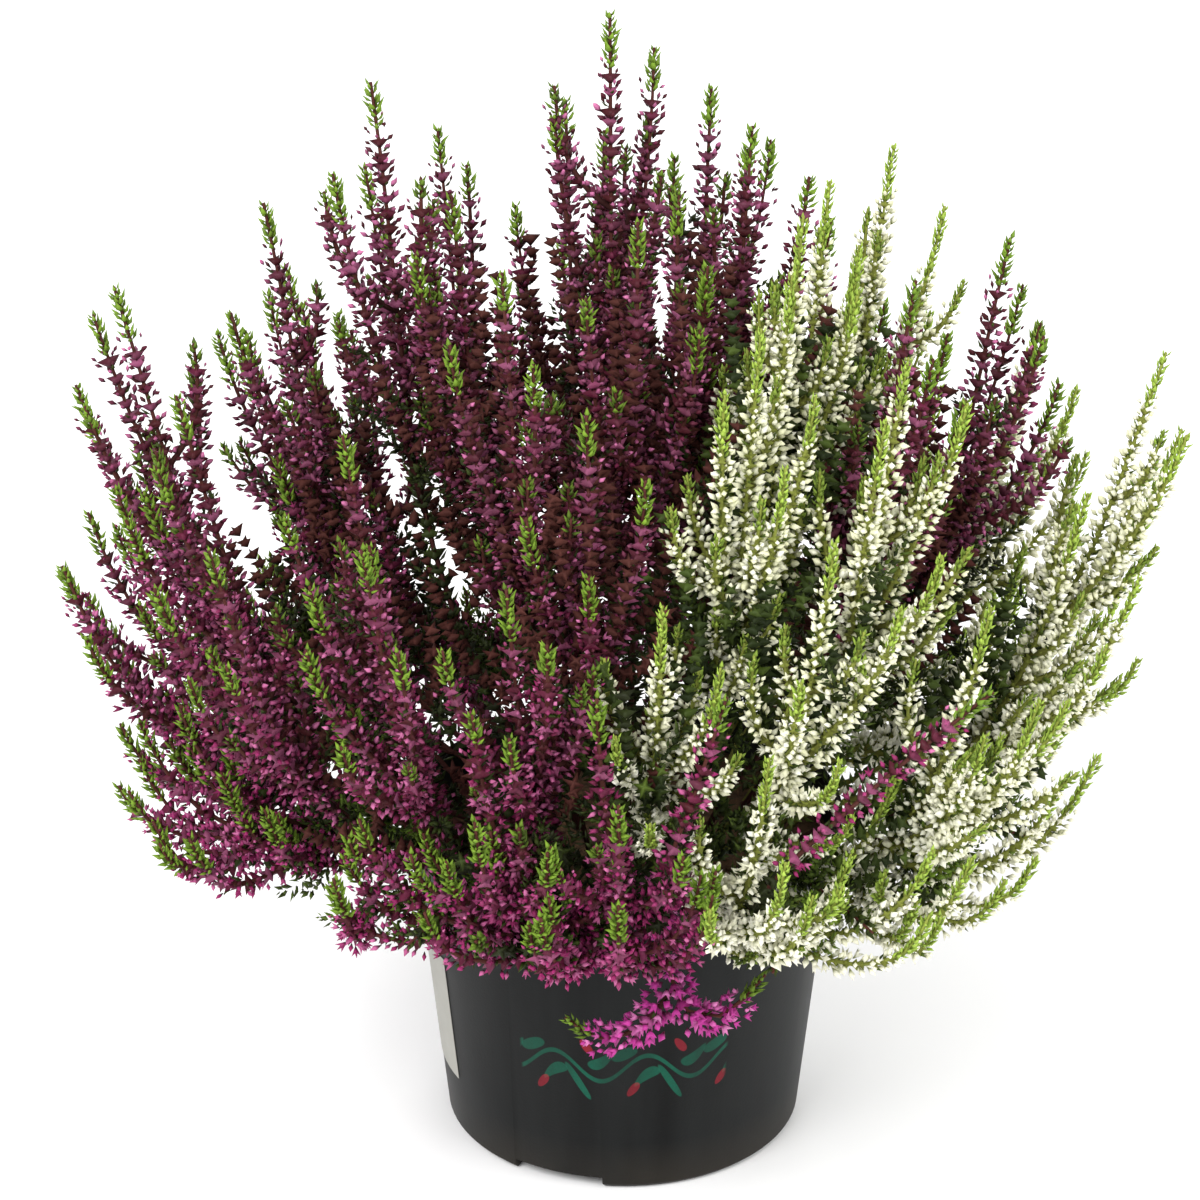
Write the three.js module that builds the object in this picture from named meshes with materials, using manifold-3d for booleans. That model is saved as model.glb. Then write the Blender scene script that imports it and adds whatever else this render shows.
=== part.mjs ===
// Potted heather: two bud-flowering heathers, one purple and one white, grown together in a black pot.
// Units are millimetres, +Z is up, and the origin is the middle of the pot's foot. The front is at -Y.
// The pot is a thin moulded shell with a rim band, drain holes and a foot ring with three notches. Peat
// fills it to just under the rim. Every spray is a woody stem that stands in its own hole in the peat and
// forks into a main spike and two to four side spikes. Leafy shoots without flowers spread low over the
// rim, and one flowering sprig hangs over it. Florets and leaves are raised from a stem's surface by a
// formula: the stem is a lattice of points in which every second point stands out, so that each floret or
// leaf is a small four-sided pyramid.

import * as THREE from "three";
import { mergeVertices } from "three/addons/utils/BufferGeometryUtils.js";
import Module from "manifold-3d";

const wasm = await Module();
wasm.setup();

// Pot
const POT_HEIGHT = 95;
const POT_BASE_RADIUS = 50;
const POT_RIM_RADIUS = 60;
const POT_WALL = 1.6;
const RIM_BAND_HEIGHT = 9;
const RIM_BAND_DEPTH = 1.4;
const FOOT_HEIGHT = 5;
const FOOT_WIDTH = 6;
const FOOT_EDGE = 1.5;
const FOOT_DRAFT = 1;
const POT_SEGMENTS = 28;
const NOTCH_BEARINGS = [248, 8, 128];
const NOTCH_WIDTH = 26;
const NOTCH_HEIGHT = 3.6;
const DRAIN_HOLES = 6;
const DRAIN_RADIUS = 5;
const DRAIN_CIRCLE_RADIUS = 30;
const DRAIN_SIDES = 8;

// Peat, and the holes that the stems stand in
const SOIL_TOP = 87;
const SOIL_SEGMENTS = 20;
const SEAT_GAP = 0.3;
const STEM_RADIUS = 1;
const HOLE_RADIUS = 1.5;
const HOLE_DEPTH = 12;
const STEM_COLLAR = 3;

// Bush outline: the spike tips lie on a dome that turns down into an upright side
const SPRAY_COUNT = 48;
const GOLDEN_ANGLE_DEG = 137.50776;
const EDGE_RADIUS = 150;
const DOME_LOW = 112;
const DOME_RISE = 178;
const DOME_POWER = 2.6;
const TOP_SHARE = 0.54;
const TOP_RADIUS = 122;
const SIDE_LOW = 122;
const SIDE_BULGE = 14;
const HEIGHT_SWAY = 11;
const RADIUS_SWAY = 3;
const FOOT_CIRCLE_RADIUS = 46;
const START_LEAN_DEG = 52;
const START_LEAN_EXTRA_DEG = 18;
const END_LEAN_DEG = 16;
const LEAN_GAIN = 1.15;
const WHITE_FROM = 38;
const WHITE_SLANT = 0.28;

// Main curves: the foot's share of its circle, and the length of the curve's handles as shares of the chord
const FOOT_SHARE = 0.75;
const FOOT_SHARE_LOW = 0.25;
const START_HANDLE = 0.3;
const START_HANDLE_OUT = 0.2;
const END_HANDLE = 0.35;
const END_HANDLE_OUT = 0.12;
const RIM_CLEARANCE = 3;

// Side spikes: where they fork from the main one, and how their tips lie from its tip
const LOW_TIP = 200;
const SIDE_FORKS = [0.4, 0.4, 0.34, 0.24];
const FORK_SWAY = 0.1;
const HAND_OUT_HIGH = 6;
const HAND_OUT_LOW = -4;
const HAND_OUT_SWAY = 3;
const HAND_ASIDE_HIGH = 14;
const HAND_ASIDE_LOW = 18;
const HAND_ASIDE_SWAY = 2;
const HAND_DROP = 10;
const HAND_DROP_MORE = 24;
const HAND_DROP_LOW_SHARE = 0.5;
const FRONT_OUT = 15;
const FRONT_ASIDE_SWAY = 6;
const FRONT_DROP = 42;
const FRONT_DROP_LEAST = 0.7;
const FRONT_DROP_MORE = 0.6;
const FRONT_LIMIT = 148;
const BACK_RISE = 22;
const DEEP_OUT = -4;
const DEEP_ASIDE = 9;
const DEEP_DROP = 80;
const DEEP_DROP_SWAY = 0.15;
const LOWEST_TIP = 107;
const LEAVE_AHEAD = 0.4;
const LEAVE_HANDLE = 0.35;
const ARRIVE_HANDLE = 0.4;

// Spikes
const TIP_LENGTH = 18;
const TIP_RADIUS = 3.1;
const TIP_WAIST = 1.5;
const TIP_BULGE_AT = 0.7;
const FLORET_REACH = 4.8;
const FLORET_REACH_LOW = 6.8;
const FLORET_REACH_LAST = 3.2;
const FLORET_ROOT = 2;
const FLORET_RISE = 0.5;
const FLORET_PITCH = 18;
const LOW_FLORET_PITCH = 23;
const FLOWER_LENGTH = 88;
const SIDE_FLOWER_SHARE = 0.8;
const INNER_RADIUS = 70;
const BARE_FOOT = 27;
const BARE_FORK = 10;
const LEAFY_STRETCH = 30;
const LEAFY_RING_AT = 0.4;
const LEAFY_REACH = 3.6;
const LEAF_ROOT = 1.4;
const LATTICE_SIDES = 4;
const LATTICE_TWIST_DEG = 24;
const JOIN_TOLERANCE = 0.08;

// Leafy shoots: the bearing of each in degrees, and its tip's distance from the axis and height
const SHOOTS = [
  [36, 121, 110],
  [62, 104, 132],
  [120, 121, 110],
  [159, 104, 132],
  [210, 84, 120],
  [243, 121, 110],
  [305, 121, 110],
  [336, 121, 110],
];
const SHOOT_FOOT = 47;
const SHOOT_BARE = 24;
const SHOOT_CREST_OUT = 24;
const SHOOT_CREST_RISE = 19;
const SHOOT_CREST_PULL = 0.7;
const SHOOT_REACH_SWAY = 3;
const SHOOT_TOP_SWAY = 5;
const SHOOT_TURN_SWAY_DEG = 3;
const TWIG_BARE = 8;
const TWIG_FORK = 0.4;
const TWIG_TURN_DEG = 14;
const TWIG_REACH = 0.9;
const TWIG_DROP = 6;
const TWIG_SWAY = 4;
const TWIG_BOW = 4;
const LEAF_PITCH = 17;
const LEAF_REACH = 3.9;
const LEAF_REACH_LAST = 0.7;
const SHOOT_TIP_LENGTH = 6;

// The sprig that hangs over the front of the pot
const SPRIG_FLOWERS = 60;
const SPRIG_PITCH = 8;
const SPRIG_FORK = 0.62;
const SPRIG_ROUTE = [
  [6, -47, 90],
  [8, -58, 103],
  [10, -73, 104],
  [12, -83, 90],
  [17, -87, 80],
  [27, -88, 80],
  [37, -88, 92],
];
const SPRIG_TWIG = [
  [4, -88, 76],
  [-7, -87, 72],
  [-16, -85, 77],
];

const PURPLE = "purple";
const WHITE = "white";

// Sprays that stand out of the dome or lean out of its side: tip position and plant
const LEADERS = [
  [-4, 30, 318, PURPLE],
  [-67, 10, 306, PURPLE],
  [34, 20, 290, PURPLE],
  [54, 0, 282, WHITE],
  [103, 10, 262, PURPLE],
  [145, 0, 233, WHITE],
  [138, -25, 178, WHITE],
  [-150, -30, 184, PURPLE],
  [-149, 25, 174, PURPLE],
  [-136, 0, 252, PURPLE],
  [-97, 20, 268, PURPLE],
  [-46, 5, 276, PURPLE],
  [-105, -94, 219, PURPLE],
  [-66, -108, 226, PURPLE],
  [-30, -110, 216, PURPLE],
  [9, -103, 208, WHITE],
  [52, -104, 226, WHITE],
  [-10, -80, 250, PURPLE],
  [76, -20, 262, PURPLE],
  [106, -92, 176, WHITE],
  [-2, -136, 169, PURPLE],
  [-38, -132, 162, PURPLE],
  [40, -131, 150, WHITE],
  [-132, -60, 132, PURPLE],
];

// Sprays turned about the pot's axis to clear a neighbour, in degrees
const BENT_DEG = new Map([[32, -2]]);

// The heights of a stem's rings under its collar, where it stands in the peat
const FOOT_RINGS = [SOIL_TOP - HOLE_DEPTH + SEAT_GAP, SOIL_TOP + 1];

const UP = new THREE.Vector3(0, 0, 1);
const rad = THREE.MathUtils.degToRad;

// A repeatable draw from 0 to 1 for a piece's index and a use.
function draw(index, use) {
  const x = Math.sin(index * 12.9898 + use * 78.233) * 43758.5453;
  return x - Math.floor(x);
}

// A repeatable draw from -1 to 1.
const sway = (index, use) => 2 * draw(index, use) - 1;

// A unit vector that leans from the vertical towards a bearing, both in radians.
function heading(lean, bearing) {
  return new THREE.Vector3(
    Math.sin(lean) * Math.cos(bearing),
    Math.sin(lean) * Math.sin(bearing),
    Math.cos(lean),
  );
}

// Solids

function solidFrom(geometry) {
  const bare = geometry.clone();
  bare.deleteAttribute("normal");
  bare.deleteAttribute("uv");
  const merged = mergeVertices(bare, 1e-4);
  return new wasm.Manifold(
    new wasm.Mesh({
      numProp: 3,
      vertProperties: new Float32Array(merged.attributes.position.array),
      triVerts: new Uint32Array(merged.index.array),
    }),
  );
}

// The outer skin of a joined solid, without pockets left between the joined pieces.
function outerSkin(solid) {
  const bodies = solid.decompose();
  return bodies.reduce((most, body) => (body.volume() > most.volume() ? body : most));
}

function meshFrom(solid, name, material) {
  const made = solid.getMesh();
  const geometry = new THREE.BufferGeometry();
  geometry.setAttribute("position", new THREE.BufferAttribute(made.vertProperties, 3));
  geometry.setIndex(new THREE.BufferAttribute(made.triVerts, 1));
  geometry.computeVertexNormals();
  const mesh = new THREE.Mesh(geometry, material);
  mesh.name = name;
  return mesh;
}

// A turned solid: the profile's points are [radius, height], and the axis is Z.
function turned(profile, segments) {
  const points = profile.map(([radius, height]) => new THREE.Vector2(radius, height));
  const geometry = new THREE.LatheGeometry(points, segments);
  geometry.rotateX(Math.PI / 2);
  return solidFrom(geometry);
}

// An upright prism with its foot at z = bottom.
function post(x, y, bottom, top, radius, sides) {
  const geometry = new THREE.CylinderGeometry(radius, radius, top - bottom, sides);
  geometry.rotateX(Math.PI / 2);
  geometry.translate(x, y, (bottom + top) / 2);
  return solidFrom(geometry);
}

// Pot

const potRadiusAt = (z) => POT_BASE_RADIUS + ((POT_RIM_RADIUS - POT_BASE_RADIUS) * z) / POT_HEIGHT;

function potSolid() {
  const band = POT_HEIGHT - RIM_BAND_HEIGHT;
  const floorTop = FOOT_HEIGHT + POT_WALL;
  let pot = turned(
    [
      [0, FOOT_HEIGHT],
      [POT_BASE_RADIUS - FOOT_WIDTH, FOOT_HEIGHT],
      [POT_BASE_RADIUS - FOOT_WIDTH + FOOT_DRAFT, 0],
      [POT_BASE_RADIUS - FOOT_EDGE, 0],
      [potRadiusAt(FOOT_EDGE), FOOT_EDGE],
      [potRadiusAt(band), band],
      [potRadiusAt(band) + RIM_BAND_DEPTH, band],
      [potRadiusAt(POT_HEIGHT) + RIM_BAND_DEPTH, POT_HEIGHT],
      [potRadiusAt(POT_HEIGHT) - POT_WALL, POT_HEIGHT],
      [potRadiusAt(floorTop) - POT_WALL, floorTop],
      [0, floorTop],
    ],
    POT_SEGMENTS,
  );
  for (const bearing of NOTCH_BEARINGS) {
    const notch = new THREE.BoxGeometry(FOOT_WIDTH * 3, NOTCH_WIDTH, NOTCH_HEIGHT * 2);
    notch.translate(POT_BASE_RADIUS, 0, 0);
    notch.rotateZ(rad(bearing));
    pot = pot.subtract(solidFrom(notch));
  }
  for (let k = 0; k < DRAIN_HOLES; k += 1) {
    const at = heading(Math.PI / 2, (2 * Math.PI * k) / DRAIN_HOLES).multiplyScalar(DRAIN_CIRCLE_RADIUS);
    pot = pot.subtract(post(at.x, at.y, FOOT_HEIGHT - 1, floorTop + 1, DRAIN_RADIUS, DRAIN_SIDES));
  }
  return pot;
}

// Peat, with a plain hole for each stem

function soilSolid(feet) {
  const bottom = FOOT_HEIGHT + POT_WALL + SEAT_GAP;
  const inside = (z) => (potRadiusAt(z) - POT_WALL - SEAT_GAP) * Math.cos(Math.PI / POT_SEGMENTS);
  let soil = turned(
    [
      [0, bottom],
      [inside(bottom), bottom],
      [inside(SOIL_TOP), SOIL_TOP],
      [0, SOIL_TOP],
    ],
    SOIL_SEGMENTS,
  );
  const holes = feet.map((foot) =>
    post(foot.x, foot.y, SOIL_TOP - HOLE_DEPTH, SOIL_TOP + 1, HOLE_RADIUS, LATTICE_SIDES),
  );
  for (const hole of holes) soil = soil.subtract(hole);
  return soil;
}

// Curves

// The dome's height at a distance from the axis.
function domeHeight(radius) {
  const out = Math.min(1, radius / EDGE_RADIUS);
  return DOME_LOW + DOME_RISE * Math.sqrt(Math.max(0, 1 - out ** DOME_POWER));
}

// Purple grows at the left and back, and white at the right.
const plantAt = (x, y) => (x > WHITE_FROM + WHITE_SLANT * y ? WHITE : PURPLE);

// The tip of each spray's main spike: a golden-angle spread over the dome and its side, with the leaders.
function sprayTips() {
  const tips = [];
  const brow = domeHeight(TOP_RADIUS);
  for (let i = 0; i < SPRAY_COUNT; i += 1) {
    const share = (i + 0.5) / SPRAY_COUNT;
    const bearing = rad(i * GOLDEN_ANGLE_DEG);
    const down = (share - TOP_SHARE) / (1 - TOP_SHARE);
    const onTop = down < 0;
    let radius = onTop
      ? TOP_RADIUS * Math.sqrt(share / TOP_SHARE)
      : TOP_RADIUS + SIDE_BULGE * Math.sin(Math.PI * down);
    let height = onTop ? domeHeight(radius) : brow + (SIDE_LOW - brow) * down;
    height += HEIGHT_SWAY * sway(i, 2);
    radius += RADIUS_SWAY * sway(i, 5);
    const at = new THREE.Vector3(radius * Math.cos(bearing), radius * Math.sin(bearing), height);
    tips.push({ at, plant: plantAt(at.x, at.y) });
  }
  const taken = new Set();
  for (const [x, y, z, plant] of LEADERS) {
    const at = new THREE.Vector3(x, y, z);
    let nearest = -1;
    tips.forEach((tip, i) => {
      if (taken.has(i)) return;
      if (nearest < 0 || at.distanceTo(tip.at) < at.distanceTo(tips[nearest].at)) nearest = i;
    });
    taken.add(nearest);
    tips[nearest] = { at, plant };
  }
  for (const [index, turn] of BENT_DEG) tips[index].at.applyAxisAngle(UP, rad(turn));
  return tips;
}

// The main spike's curve: out over the rim, then up to a nearly upright tip.
function mainCurve(tip) {
  const radius = Math.hypot(tip.x, tip.y);
  const bearing = Math.atan2(tip.y, tip.x);
  const out = radius / EDGE_RADIUS;
  const brow = domeHeight(TOP_RADIUS);
  const fallen = THREE.MathUtils.clamp((brow - tip.z) / (brow - SIDE_LOW), 0, 1);
  const low = fallen * THREE.MathUtils.clamp(out * 2 - 1, 0, 1);
  const footShare = Math.min(1, FOOT_SHARE * out + FOOT_SHARE_LOW * low);
  const foot = heading(Math.PI / 2, bearing).multiplyScalar(FOOT_CIRCLE_RADIUS * footShare);
  foot.z = SOIL_TOP + STEM_COLLAR;
  const chord = foot.distanceTo(tip);
  const startLean = Math.min(1, out * LEAN_GAIN) * (START_LEAN_DEG + START_LEAN_EXTRA_DEG * (1 - low));
  const start = heading(rad(startLean), bearing);
  const end = heading(rad(END_LEAN_DEG * out), bearing);
  const highestHandle = (tip.z - POT_HEIGHT - RIM_CLEARANCE) / end.z;
  const endHandle = Math.min((END_HANDLE + END_HANDLE_OUT * out) * chord, highestHandle);
  return new THREE.CubicBezierCurve3(
    foot,
    foot.clone().addScaledVector(start, (START_HANDLE + START_HANDLE_OUT * out) * chord),
    tip.clone().addScaledVector(end, -endHandle),
    tip,
  );
}

// How many side spikes a spray has: few in the crowded middle, and most on the high outer sprays.
function sideCount(tip) {
  if (Math.hypot(tip.x, tip.y) < INNER_RADIUS) return 2;
  return tip.z >= LOW_TIP + DEEP_DROP / 4 ? 4 : 3;
}

// Where a side spike ends. Sides 0 and 1 stand to either hand. Side 2 stands in front and lower on a high
// spray, or behind and higher on a low one. Side 3 stays deep in the bush.
function sideEnd(index, side, tip) {
  const bearing = Math.atan2(tip.y, tip.x);
  const outward = heading(Math.PI / 2, bearing);
  const along = new THREE.Vector3(-Math.sin(bearing), Math.cos(bearing), 0);
  const high = tip.z >= LOW_TIP;
  const end = tip.clone();
  if (side === 3) {
    end.addScaledVector(outward, DEEP_OUT);
    end.addScaledVector(along, DEEP_ASIDE * (index % 2 ? 1 : -1));
    end.z -= DEEP_DROP * (1 + DEEP_DROP_SWAY * sway(index, 24));
  } else if (side === 2) {
    end.addScaledVector(outward, high ? FRONT_OUT : -FRONT_OUT);
    end.addScaledVector(along, FRONT_ASIDE_SWAY * sway(index, 14));
    end.z += high ? -FRONT_DROP * (FRONT_DROP_LEAST + FRONT_DROP_MORE * draw(index, 22)) : BACK_RISE;
  } else {
    const hand = side ? 1 : -1;
    const aside = (high ? HAND_ASIDE_HIGH : HAND_ASIDE_LOW) + HAND_ASIDE_SWAY * sway(index, 12 + side);
    const drop = HAND_DROP + HAND_DROP_MORE * draw(index, 20 + side);
    const out = (high ? HAND_OUT_HIGH : HAND_OUT_LOW) + HAND_OUT_SWAY * sway(index, 10 + side);
    end.addScaledVector(outward, out);
    end.addScaledVector(along, hand * aside);
    end.z -= drop * (high ? 1 : HAND_DROP_LOW_SHARE);
  }
  const reach = Math.hypot(end.x, end.y);
  if (side === 2 && reach > FRONT_LIMIT) {
    end.x *= FRONT_LIMIT / reach;
    end.y *= FRONT_LIMIT / reach;
  }
  end.z = Math.max(end.z, LOWEST_TIP);
  return end;
}

// A side spike's curve: it leaves the main one under half way up and rises beside it.
function sideCurve(index, side, tip, main) {
  const end = sideEnd(index, side, tip);
  const fork = SIDE_FORKS[side] + FORK_SWAY * draw(index, 30 + side);
  const start = main.getPoint(fork);
  const ahead = main.getTangent(fork);
  const across = end.clone().sub(start);
  const length = across.length();
  const leave = ahead.multiplyScalar(LEAVE_AHEAD).addScaledVector(across, (1 - LEAVE_AHEAD) / length);
  leave.normalize();
  const out = Math.hypot(end.x, end.y) / EDGE_RADIUS;
  const arrive = heading(rad(END_LEAN_DEG * out), Math.atan2(end.y, end.x));
  return new THREE.CubicBezierCurve3(
    start,
    start.clone().addScaledVector(leave, LEAVE_HANDLE * length),
    end.clone().addScaledVector(arrive, -ARRIVE_HANDLE * length),
    end,
  );
}

// Stems as lattices

// The stations of a spike from its tip down: how far back each is, and how far out its sunk and raised
// points lie.
function spikeStations(length, flowerLength, bare, pitch) {
  const stations = [{ back: TIP_LENGTH * TIP_BULGE_AT, sunk: TIP_WAIST, raised: TIP_RADIUS }];
  const last = Math.min(length - bare, TIP_LENGTH + flowerLength);
  const rows = Math.max(2, Math.round((last - TIP_LENGTH) / pitch));
  for (let row = 1; row <= rows; row += 1) {
    const share = row / rows;
    const grown = FLORET_REACH + (FLORET_REACH_LOW - FLORET_REACH) * share;
    const raised = row < rows ? grown : FLORET_REACH_LAST;
    stations.push({ back: TIP_LENGTH + (last - TIP_LENGTH) * share, sunk: FLORET_ROOT, raised });
  }
  if (length - last > LEAFY_STRETCH) {
    stations.push({ back: last + LEAFY_RING_AT * (length - last), sunk: LEAF_ROOT, raised: LEAFY_REACH });
  }
  return stations;
}

// A closed lattice stem along a curve. prefix holds the heights of rings below the curve's start.
function latticeStem(curve, stations, prefix = []) {
  const length = curve.getLength();
  const rings = prefix.map((z) => ({
    centre: curve.getPoint(0).setZ(z),
    ahead: UP.clone(),
    sunk: STEM_RADIUS,
    raised: STEM_RADIUS,
    twist: 0,
  }));
  if (!prefix.length) rings.push(ringAt(curve, 0, STEM_RADIUS, STEM_RADIUS, 0));
  [...stations].reverse().forEach((station, k) => {
    const along = 1 - station.back / length;
    rings.push(ringAt(curve, along, station.sunk, station.raised, rad(LATTICE_TWIST_DEG) * (k + 1)));
  });
  const points = [];
  const faces = [];
  const tip = curve.getPoint(1);
  const side = sideways(curve);
  rings.forEach((ring, row) => {
    const across = side.clone().addScaledVector(ring.ahead, -side.dot(ring.ahead)).normalize();
    const up = new THREE.Vector3().crossVectors(ring.ahead, across);
    for (let column = 0; column < LATTICE_SIDES; column += 1) {
      const stands = (row + column) % 2 === 0;
      const reach = stands ? ring.raised : ring.sunk;
      const angle = ring.twist + (2 * Math.PI * column) / LATTICE_SIDES;
      const point = ring.centre
        .clone()
        .addScaledVector(across, reach * Math.cos(angle))
        .addScaledVector(up, reach * Math.sin(angle))
        .addScaledVector(ring.ahead, Math.max(0, reach - FLORET_ROOT) * FLORET_RISE);
      points.push(point);
    }
  });
  const at = (row, column) => row * LATTICE_SIDES + (column % LATTICE_SIDES);
  for (let row = 0; row + 1 < rings.length; row += 1) {
    for (let column = 0; column < LATTICE_SIDES; column += 1) {
      const [a, b] = [at(row, column), at(row, column + 1)];
      const [c, d] = [at(row + 1, column), at(row + 1, column + 1)];
      // The valley between two raised points is the diagonal, so that each raised point is a pyramid.
      if ((row + column) % 2 === 0) faces.push(a, b, c, b, d, c);
      else faces.push(a, b, d, a, d, c);
    }
  }
  const top = points.push(tip) - 1;
  for (let column = 0; column < LATTICE_SIDES; column += 1) {
    faces.push(at(rings.length - 1, column), at(rings.length - 1, column + 1), top);
  }
  for (let column = 1; column + 1 < LATTICE_SIDES; column += 1) {
    faces.push(at(0, 0), at(0, column + 1), at(0, column));
  }
  return new wasm.Manifold(
    new wasm.Mesh({
      numProp: 3,
      vertProperties: new Float32Array(points.flatMap((point) => [point.x, point.y, point.z])),
      triVerts: new Uint32Array(faces),
    }),
  );
}

function ringAt(curve, along, sunk, raised, twist) {
  return { centre: curve.getPointAt(along), ahead: curve.getTangentAt(along), sunk, raised, twist };
}

// A level direction across a curve's plane, which its rings are turned to.
function sideways(curve) {
  const [start, end] = [curve.getPoint(0), curve.getPoint(1)];
  const bearing = Math.atan2(end.y - start.y, end.x - start.x);
  return new THREE.Vector3(-Math.sin(bearing), Math.cos(bearing), 0);
}

function spraySolid(index, tip) {
  const main = mainCurve(tip);
  const high = tip.z >= LOW_TIP;
  const flowers = high ? FLOWER_LENGTH : 2 * FLOWER_LENGTH;
  const pitch = high ? FLORET_PITCH : LOW_FLORET_PITCH;
  let spray = latticeStem(main, spikeStations(main.getLength(), flowers, BARE_FOOT, pitch), FOOT_RINGS);
  for (let side = 0; side < sideCount(tip); side += 1) {
    const curve = sideCurve(index, side, tip, main);
    const stations = spikeStations(curve.getLength(), SIDE_FLOWER_SHARE * flowers, BARE_FORK, pitch);
    spray = spray.add(latticeStem(curve, stations));
  }
  return { solid: outerSkin(spray.simplify(JOIN_TOLERANCE)), foot: main.v0 };
}

// The stations of a leafy shoot from its tip down to its bare foot.
function leafStations(length, bare) {
  const rows = Math.max(2, Math.round((length - bare) / LEAF_PITCH));
  const stations = [];
  for (let row = 1; row <= rows; row += 1) {
    const share = row / rows;
    stations.push({
      back: SHOOT_TIP_LENGTH + (length - SHOOT_TIP_LENGTH - bare) * share,
      sunk: LEAF_ROOT,
      raised: LEAF_REACH * (LEAF_REACH_LAST + (1 - LEAF_REACH_LAST) * share),
    });
  }
  return stations;
}

// A curve from the foot over the rim to a tip, all given as distance from the axis, height and bearing.
function overRim(foot, crest, tip) {
  const at = ([radius, height, bearing]) => {
    return heading(Math.PI / 2, rad(bearing)).multiplyScalar(radius).setZ(height);
  };
  const [start, over, end] = [at(foot), at(crest), at(tip)];
  return new THREE.CubicBezierCurve3(start, start.clone().lerp(over, SHOOT_CREST_PULL), over, end);
}

// A leafy shoot without flowers, which fills the low gap over the rim, with a twig to either hand.
function shootSolid(index) {
  const [bearing, reach, top] = SHOOTS[index];
  const main = overRim(
    [SHOOT_FOOT, SOIL_TOP + STEM_COLLAR, bearing],
    [SHOOT_FOOT + SHOOT_CREST_OUT, POT_HEIGHT + SHOOT_CREST_RISE, bearing],
    [
      reach + SHOOT_REACH_SWAY * sway(index, 40),
      top + SHOOT_TOP_SWAY * sway(index, 41),
      bearing + SHOOT_TURN_SWAY_DEG * sway(index, 42),
    ],
  );
  let shoot = latticeStem(main, leafStations(main.getLength(), SHOOT_BARE), FOOT_RINGS);
  const fork = main.getPoint(TWIG_FORK);
  for (const hand of [-1, 1]) {
    const spread = (TWIG_REACH * reach) / Math.hypot(fork.x, fork.y);
    const tip = fork.clone().applyAxisAngle(UP, rad(hand * TWIG_TURN_DEG)).multiplyScalar(spread);
    tip.z = top - TWIG_DROP + TWIG_SWAY * sway(index, 44 + hand);
    const middle = fork.clone().lerp(tip, 0.5).addScaledVector(main.getTangent(TWIG_FORK), TWIG_BOW);
    const twig = new THREE.CubicBezierCurve3(fork, middle, middle, tip);
    shoot = shoot.add(latticeStem(twig, leafStations(twig.getLength(), TWIG_BARE)));
  }
  return { solid: outerSkin(shoot), foot: main.v0 };
}

// The flowering sprig that hangs over the front of the pot and turns up at its tip.
function sprigSolid() {
  const pointsOf = (route) => route.map(([x, y, z]) => new THREE.Vector3(x, y, z));
  const main = new THREE.CatmullRomCurve3(pointsOf(SPRIG_ROUTE));
  let sprig = latticeStem(
    main,
    spikeStations(main.getLength(), SPRIG_FLOWERS, BARE_FOOT, SPRIG_PITCH),
    FOOT_RINGS,
  );
  const fork = main.getPointAt(SPRIG_FORK);
  const twig = new THREE.CatmullRomCurve3([fork, ...pointsOf(SPRIG_TWIG)]);
  const twigStations = spikeStations(twig.getLength(), SPRIG_FLOWERS, BARE_FORK, SPRIG_PITCH);
  sprig = sprig.add(latticeStem(twig, twigStations));
  return { solid: outerSkin(sprig), foot: main.points[0] };
}

// Model

const materials = {
  pot: new THREE.MeshStandardMaterial({ color: 0x262626, roughness: 0.45, metalness: 0 }),
  peat: new THREE.MeshStandardMaterial({ color: 0x2e2218, roughness: 1, metalness: 0 }),
  [PURPLE]: new THREE.MeshStandardMaterial({ color: 0x8c2c68, roughness: 0.7, metalness: 0 }),
  [WHITE]: new THREE.MeshStandardMaterial({ color: 0xe6e8cc, roughness: 0.7, metalness: 0 }),
  leaf: new THREE.MeshStandardMaterial({ color: 0x4f7a26, roughness: 0.7, metalness: 0 }),
};

const heather = new THREE.Group();
heather.add(meshFrom(potSolid(), "pot", materials.pot));
const feet = [];
const counts = { [PURPLE]: 0, [WHITE]: 0 };
sprayTips().forEach((tip, index) => {
  const { solid, foot } = spraySolid(index, tip.at);
  feet.push(foot);
  counts[tip.plant] += 1;
  const number = String(counts[tip.plant]).padStart(2, "0");
  heather.add(meshFrom(solid, `${tip.plant}_spray_${number}`, materials[tip.plant]));
});
SHOOTS.forEach((_, index) => {
  const { solid, foot } = shootSolid(index);
  feet.push(foot);
  heather.add(meshFrom(solid, `leafy_shoot_${index + 1}`, materials.leaf));
});
const sprig = sprigSolid();
feet.push(sprig.foot);
heather.add(meshFrom(sprig.solid, "hanging_sprig", materials[PURPLE]));
heather.add(meshFrom(soilSolid(feet), "peat", materials.peat));

export default heather;
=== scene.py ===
"""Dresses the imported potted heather: a purple and a white bud-flowering heather in one black pot.

Lengths are in millimetres until a mesh is written, which is in metres. The bush is laid out by the same rule
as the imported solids: each spray of flower spikes, leafy shoot and sprig stands on the curves of its node.
"""

import logging
import math
from dataclasses import dataclass, field, fields, replace
from enum import Enum, IntEnum
from typing import Dict, List, Optional, Sequence, Tuple, Union

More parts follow.
